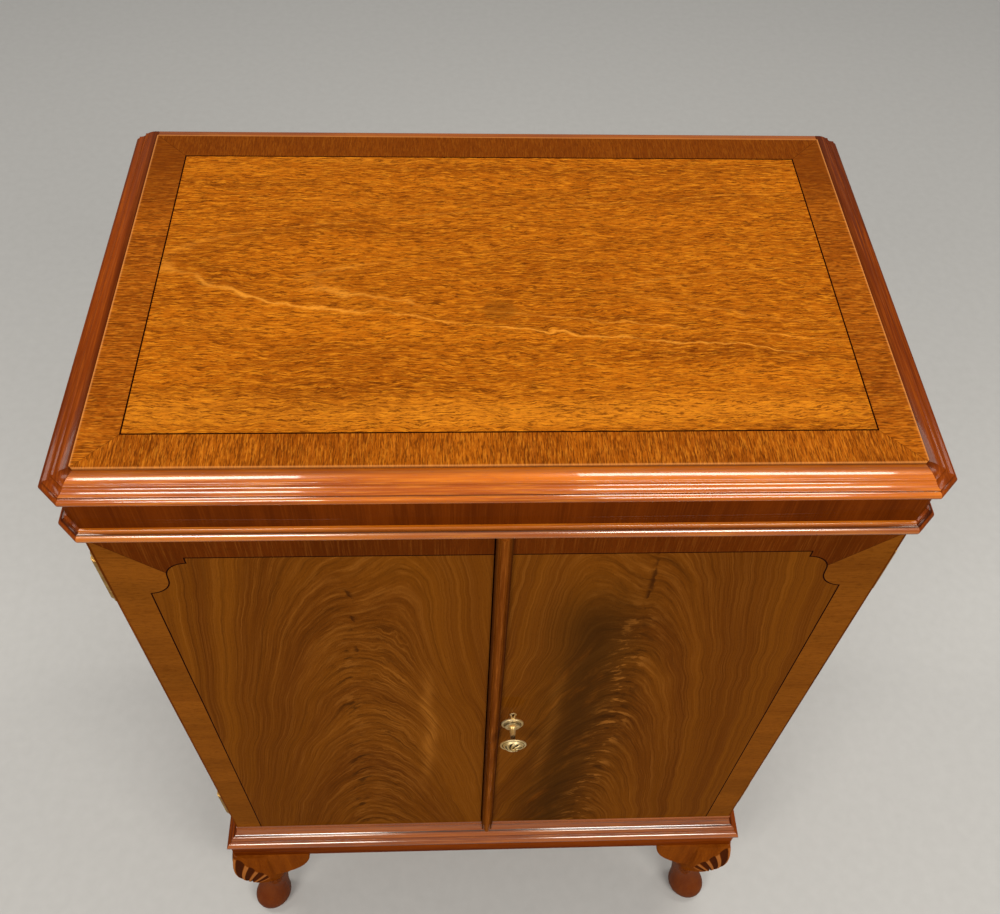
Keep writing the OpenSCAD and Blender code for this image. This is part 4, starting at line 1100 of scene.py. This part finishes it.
stem = [(0, collar_out - 2), (2, collar_out - 2), (2, collar_out), (3.8, collar_out)]
stem += [(4, collar_out + 0.3), (3.9, collar_out + 0.8), (3.2, collar_out + 1.3)]
stem += [(2.9, 9), (2.6, 12), (2.3, 14.5), (2.0, 17.2)]
stem += [(2.1, 18.2), (2.6, 19), (4.4, 19.9), (8, 20.7), (head_radius - 1.4, knob_out - 7)]
rim = round_run(head_radius - 1, knob_out - 6, 1, 1, -80, 130, 8)
dish = [(head_radius - 2.3, knob_out - 5.7), (head_radius - 2.9, knob_out - 5.3)]
dome = round_run(0, knob_out - 5.4, face_radius, 5.4, 8, 90, 30)
knob = spun("knob_turned", stem + rim + dish + dome, 128)
print("knob:", len(knob.data.polygons), "faces, head", round(head_radius * 2, 1), "mm")


# %% Chase the rosette
button = 0.19
button_foot = 0.26
petal_end = 0.95
chasing = 1.5


def rosette_depth(radius, turn):
    """How deep the chasing goes, from 0 at the top of a petal to 1 in a hollow."""
    share = radius / face_radius
    if share < button or share > petal_end:
        return 0.0
    if share < button_foot:
        return (share - button) / (button_foot - button)
    curl = turn + 1.5 * (share - 0.3)
    petal = abs(math.sin(3.5 * curl))
    vein = 0.45 * max(0.0, 1 - abs(math.sin(7 * curl + 1.2)) * 2.2)
    fade = min(1.0, (petal_end - share) / 0.12)
    return min(1.0, (1 - petal ** 0.7) + vein) * fade


def chase(piece):
    """Presses the petals in, marks the rim's groove dark as dirt and the neck as painted shade."""
    hollow = piece.data.attributes.new("hollow", "FLOAT", "POINT")
    for v in piece.data.vertices:
        out = (door_face - v.co.y) / mm
        dx = (v.co.x - knob_middle.x) / mm
        dz = (v.co.z - knob_middle.z) / mm
        radius = math.hypot(dx, dz)
        depth = 0.0
        if out > knob_out - 5.5 and radius < head_radius - 2.5:
            depth = rosette_depth(radius, math.atan2(dz, dx))
            v.co.y += depth * chasing * mm
        elif abs(radius - (head_radius - 2.6)) < 0.4:
            depth = 0.9
        # painted shade: the thin neck under the head is marked dark, as it lies in the head's
        # shadow
        elif out < knob_out - 7 and radius < 2.4:
            depth = 0.5
        hollow.data[v.index].value = depth
    alone(piece)
    bpy.ops.object.shade_smooth_by_angle(angle=math.radians(55))
    piece.data.materials.append(bright_brass)
    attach(piece, "right_door")
    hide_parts("knob")


chase(knob)
print("rosette chased")

# %% [markdown]
# ## Floor and light
# The floor is plain and pale. Four soft lamps, slightly warm, hang high: a pair at the left and a
# pair at the right, with a gap between them, so polished mouldings show bright lines that fade
# towards the middle. The room fills the shadows. The floor and the room are darker where the polish
# mirrors them, or they would lay a grey veil over the dark wood.

# %% Floor, lamps and world
deselect_all()
bpy.ops.mesh.primitive_plane_add(size=30, location=(0, 0, -0.5 * mm))
floor = bpy.context.object
floor.name = "floor"


def floor_finish():
    f = Finish("pale floor")
    fleck = f.noise(f.x * 60, f.y * 60, 0.0, detail=3)
    colour = f.mix(fleck, (0.56, 0.56, 0.55), (0.62, 0.62, 0.61))
    seen_in_gloss = f.add("LightPath", out="Is Glossy Ray")
    colour = f.mix(seen_in_gloss * 0.8, colour, (0.10, 0.08, 0.06))
    return f.close(colour, 0.7 + 0.1 * fleck, fleck, 0.0002, {"Specular IOR Level": 0.2})


floor.data.materials.append(floor_finish())


lamp_colour = (1.0, 0.95, 0.87)


def lamp(name, place, target, size, power):
    data = bpy.data.lights.new(name, "AREA")
    data.shape = "RECTANGLE"
    data.size, data.size_y = size
    data.energy = power
    data.color = lamp_colour
    piece = bpy.data.objects.new(name, data)
    scene.collection.objects.link(piece)
    piece.location = place
    aim = Vector(target) - Vector(place)
    piece.rotation_euler = aim.to_track_quat("-Z", "Y").to_euler()
    return piece


lamp("left lamp", (-1.14, 0.25, 2.6), (-1.14, 0.1, 0.9), (0.95, 0.42), 14)
lamp("right lamp", (1.02, 0.25, 2.6), (1.02, 0.1, 0.9), (1.36, 0.42), 17)
lamp("front left lamp", (-1.40, -1.75, 2.5), (-1.40, 0, 0.6), (1.2, 0.6), 30)
lamp("front right lamp", (1.30, -1.75, 2.5), (1.30, 0, 0.6), (1.5, 0.6), 34)


def dim_room(bright, mirrored):
    """An even, pale room: it lights the cabinet, but is darker where the polish mirrors it."""
    world = bpy.data.worlds.new("room")
    scene.world = world
    world.use_nodes = True
    tree = world.node_tree
    path = Wire(tree, tree.nodes.new("ShaderNodeLightPath").outputs["Is Glossy Ray"])
    sky = tree.nodes["Background"]
    sky.inputs["Color"].default_value = (0.90, 0.88, 0.85, 1)
    plug(tree, sky.inputs["Strength"], bright - path * (bright - mirrored))


dim_room(0.40, 0.16)
scene.view_settings.view_transform = "Standard"
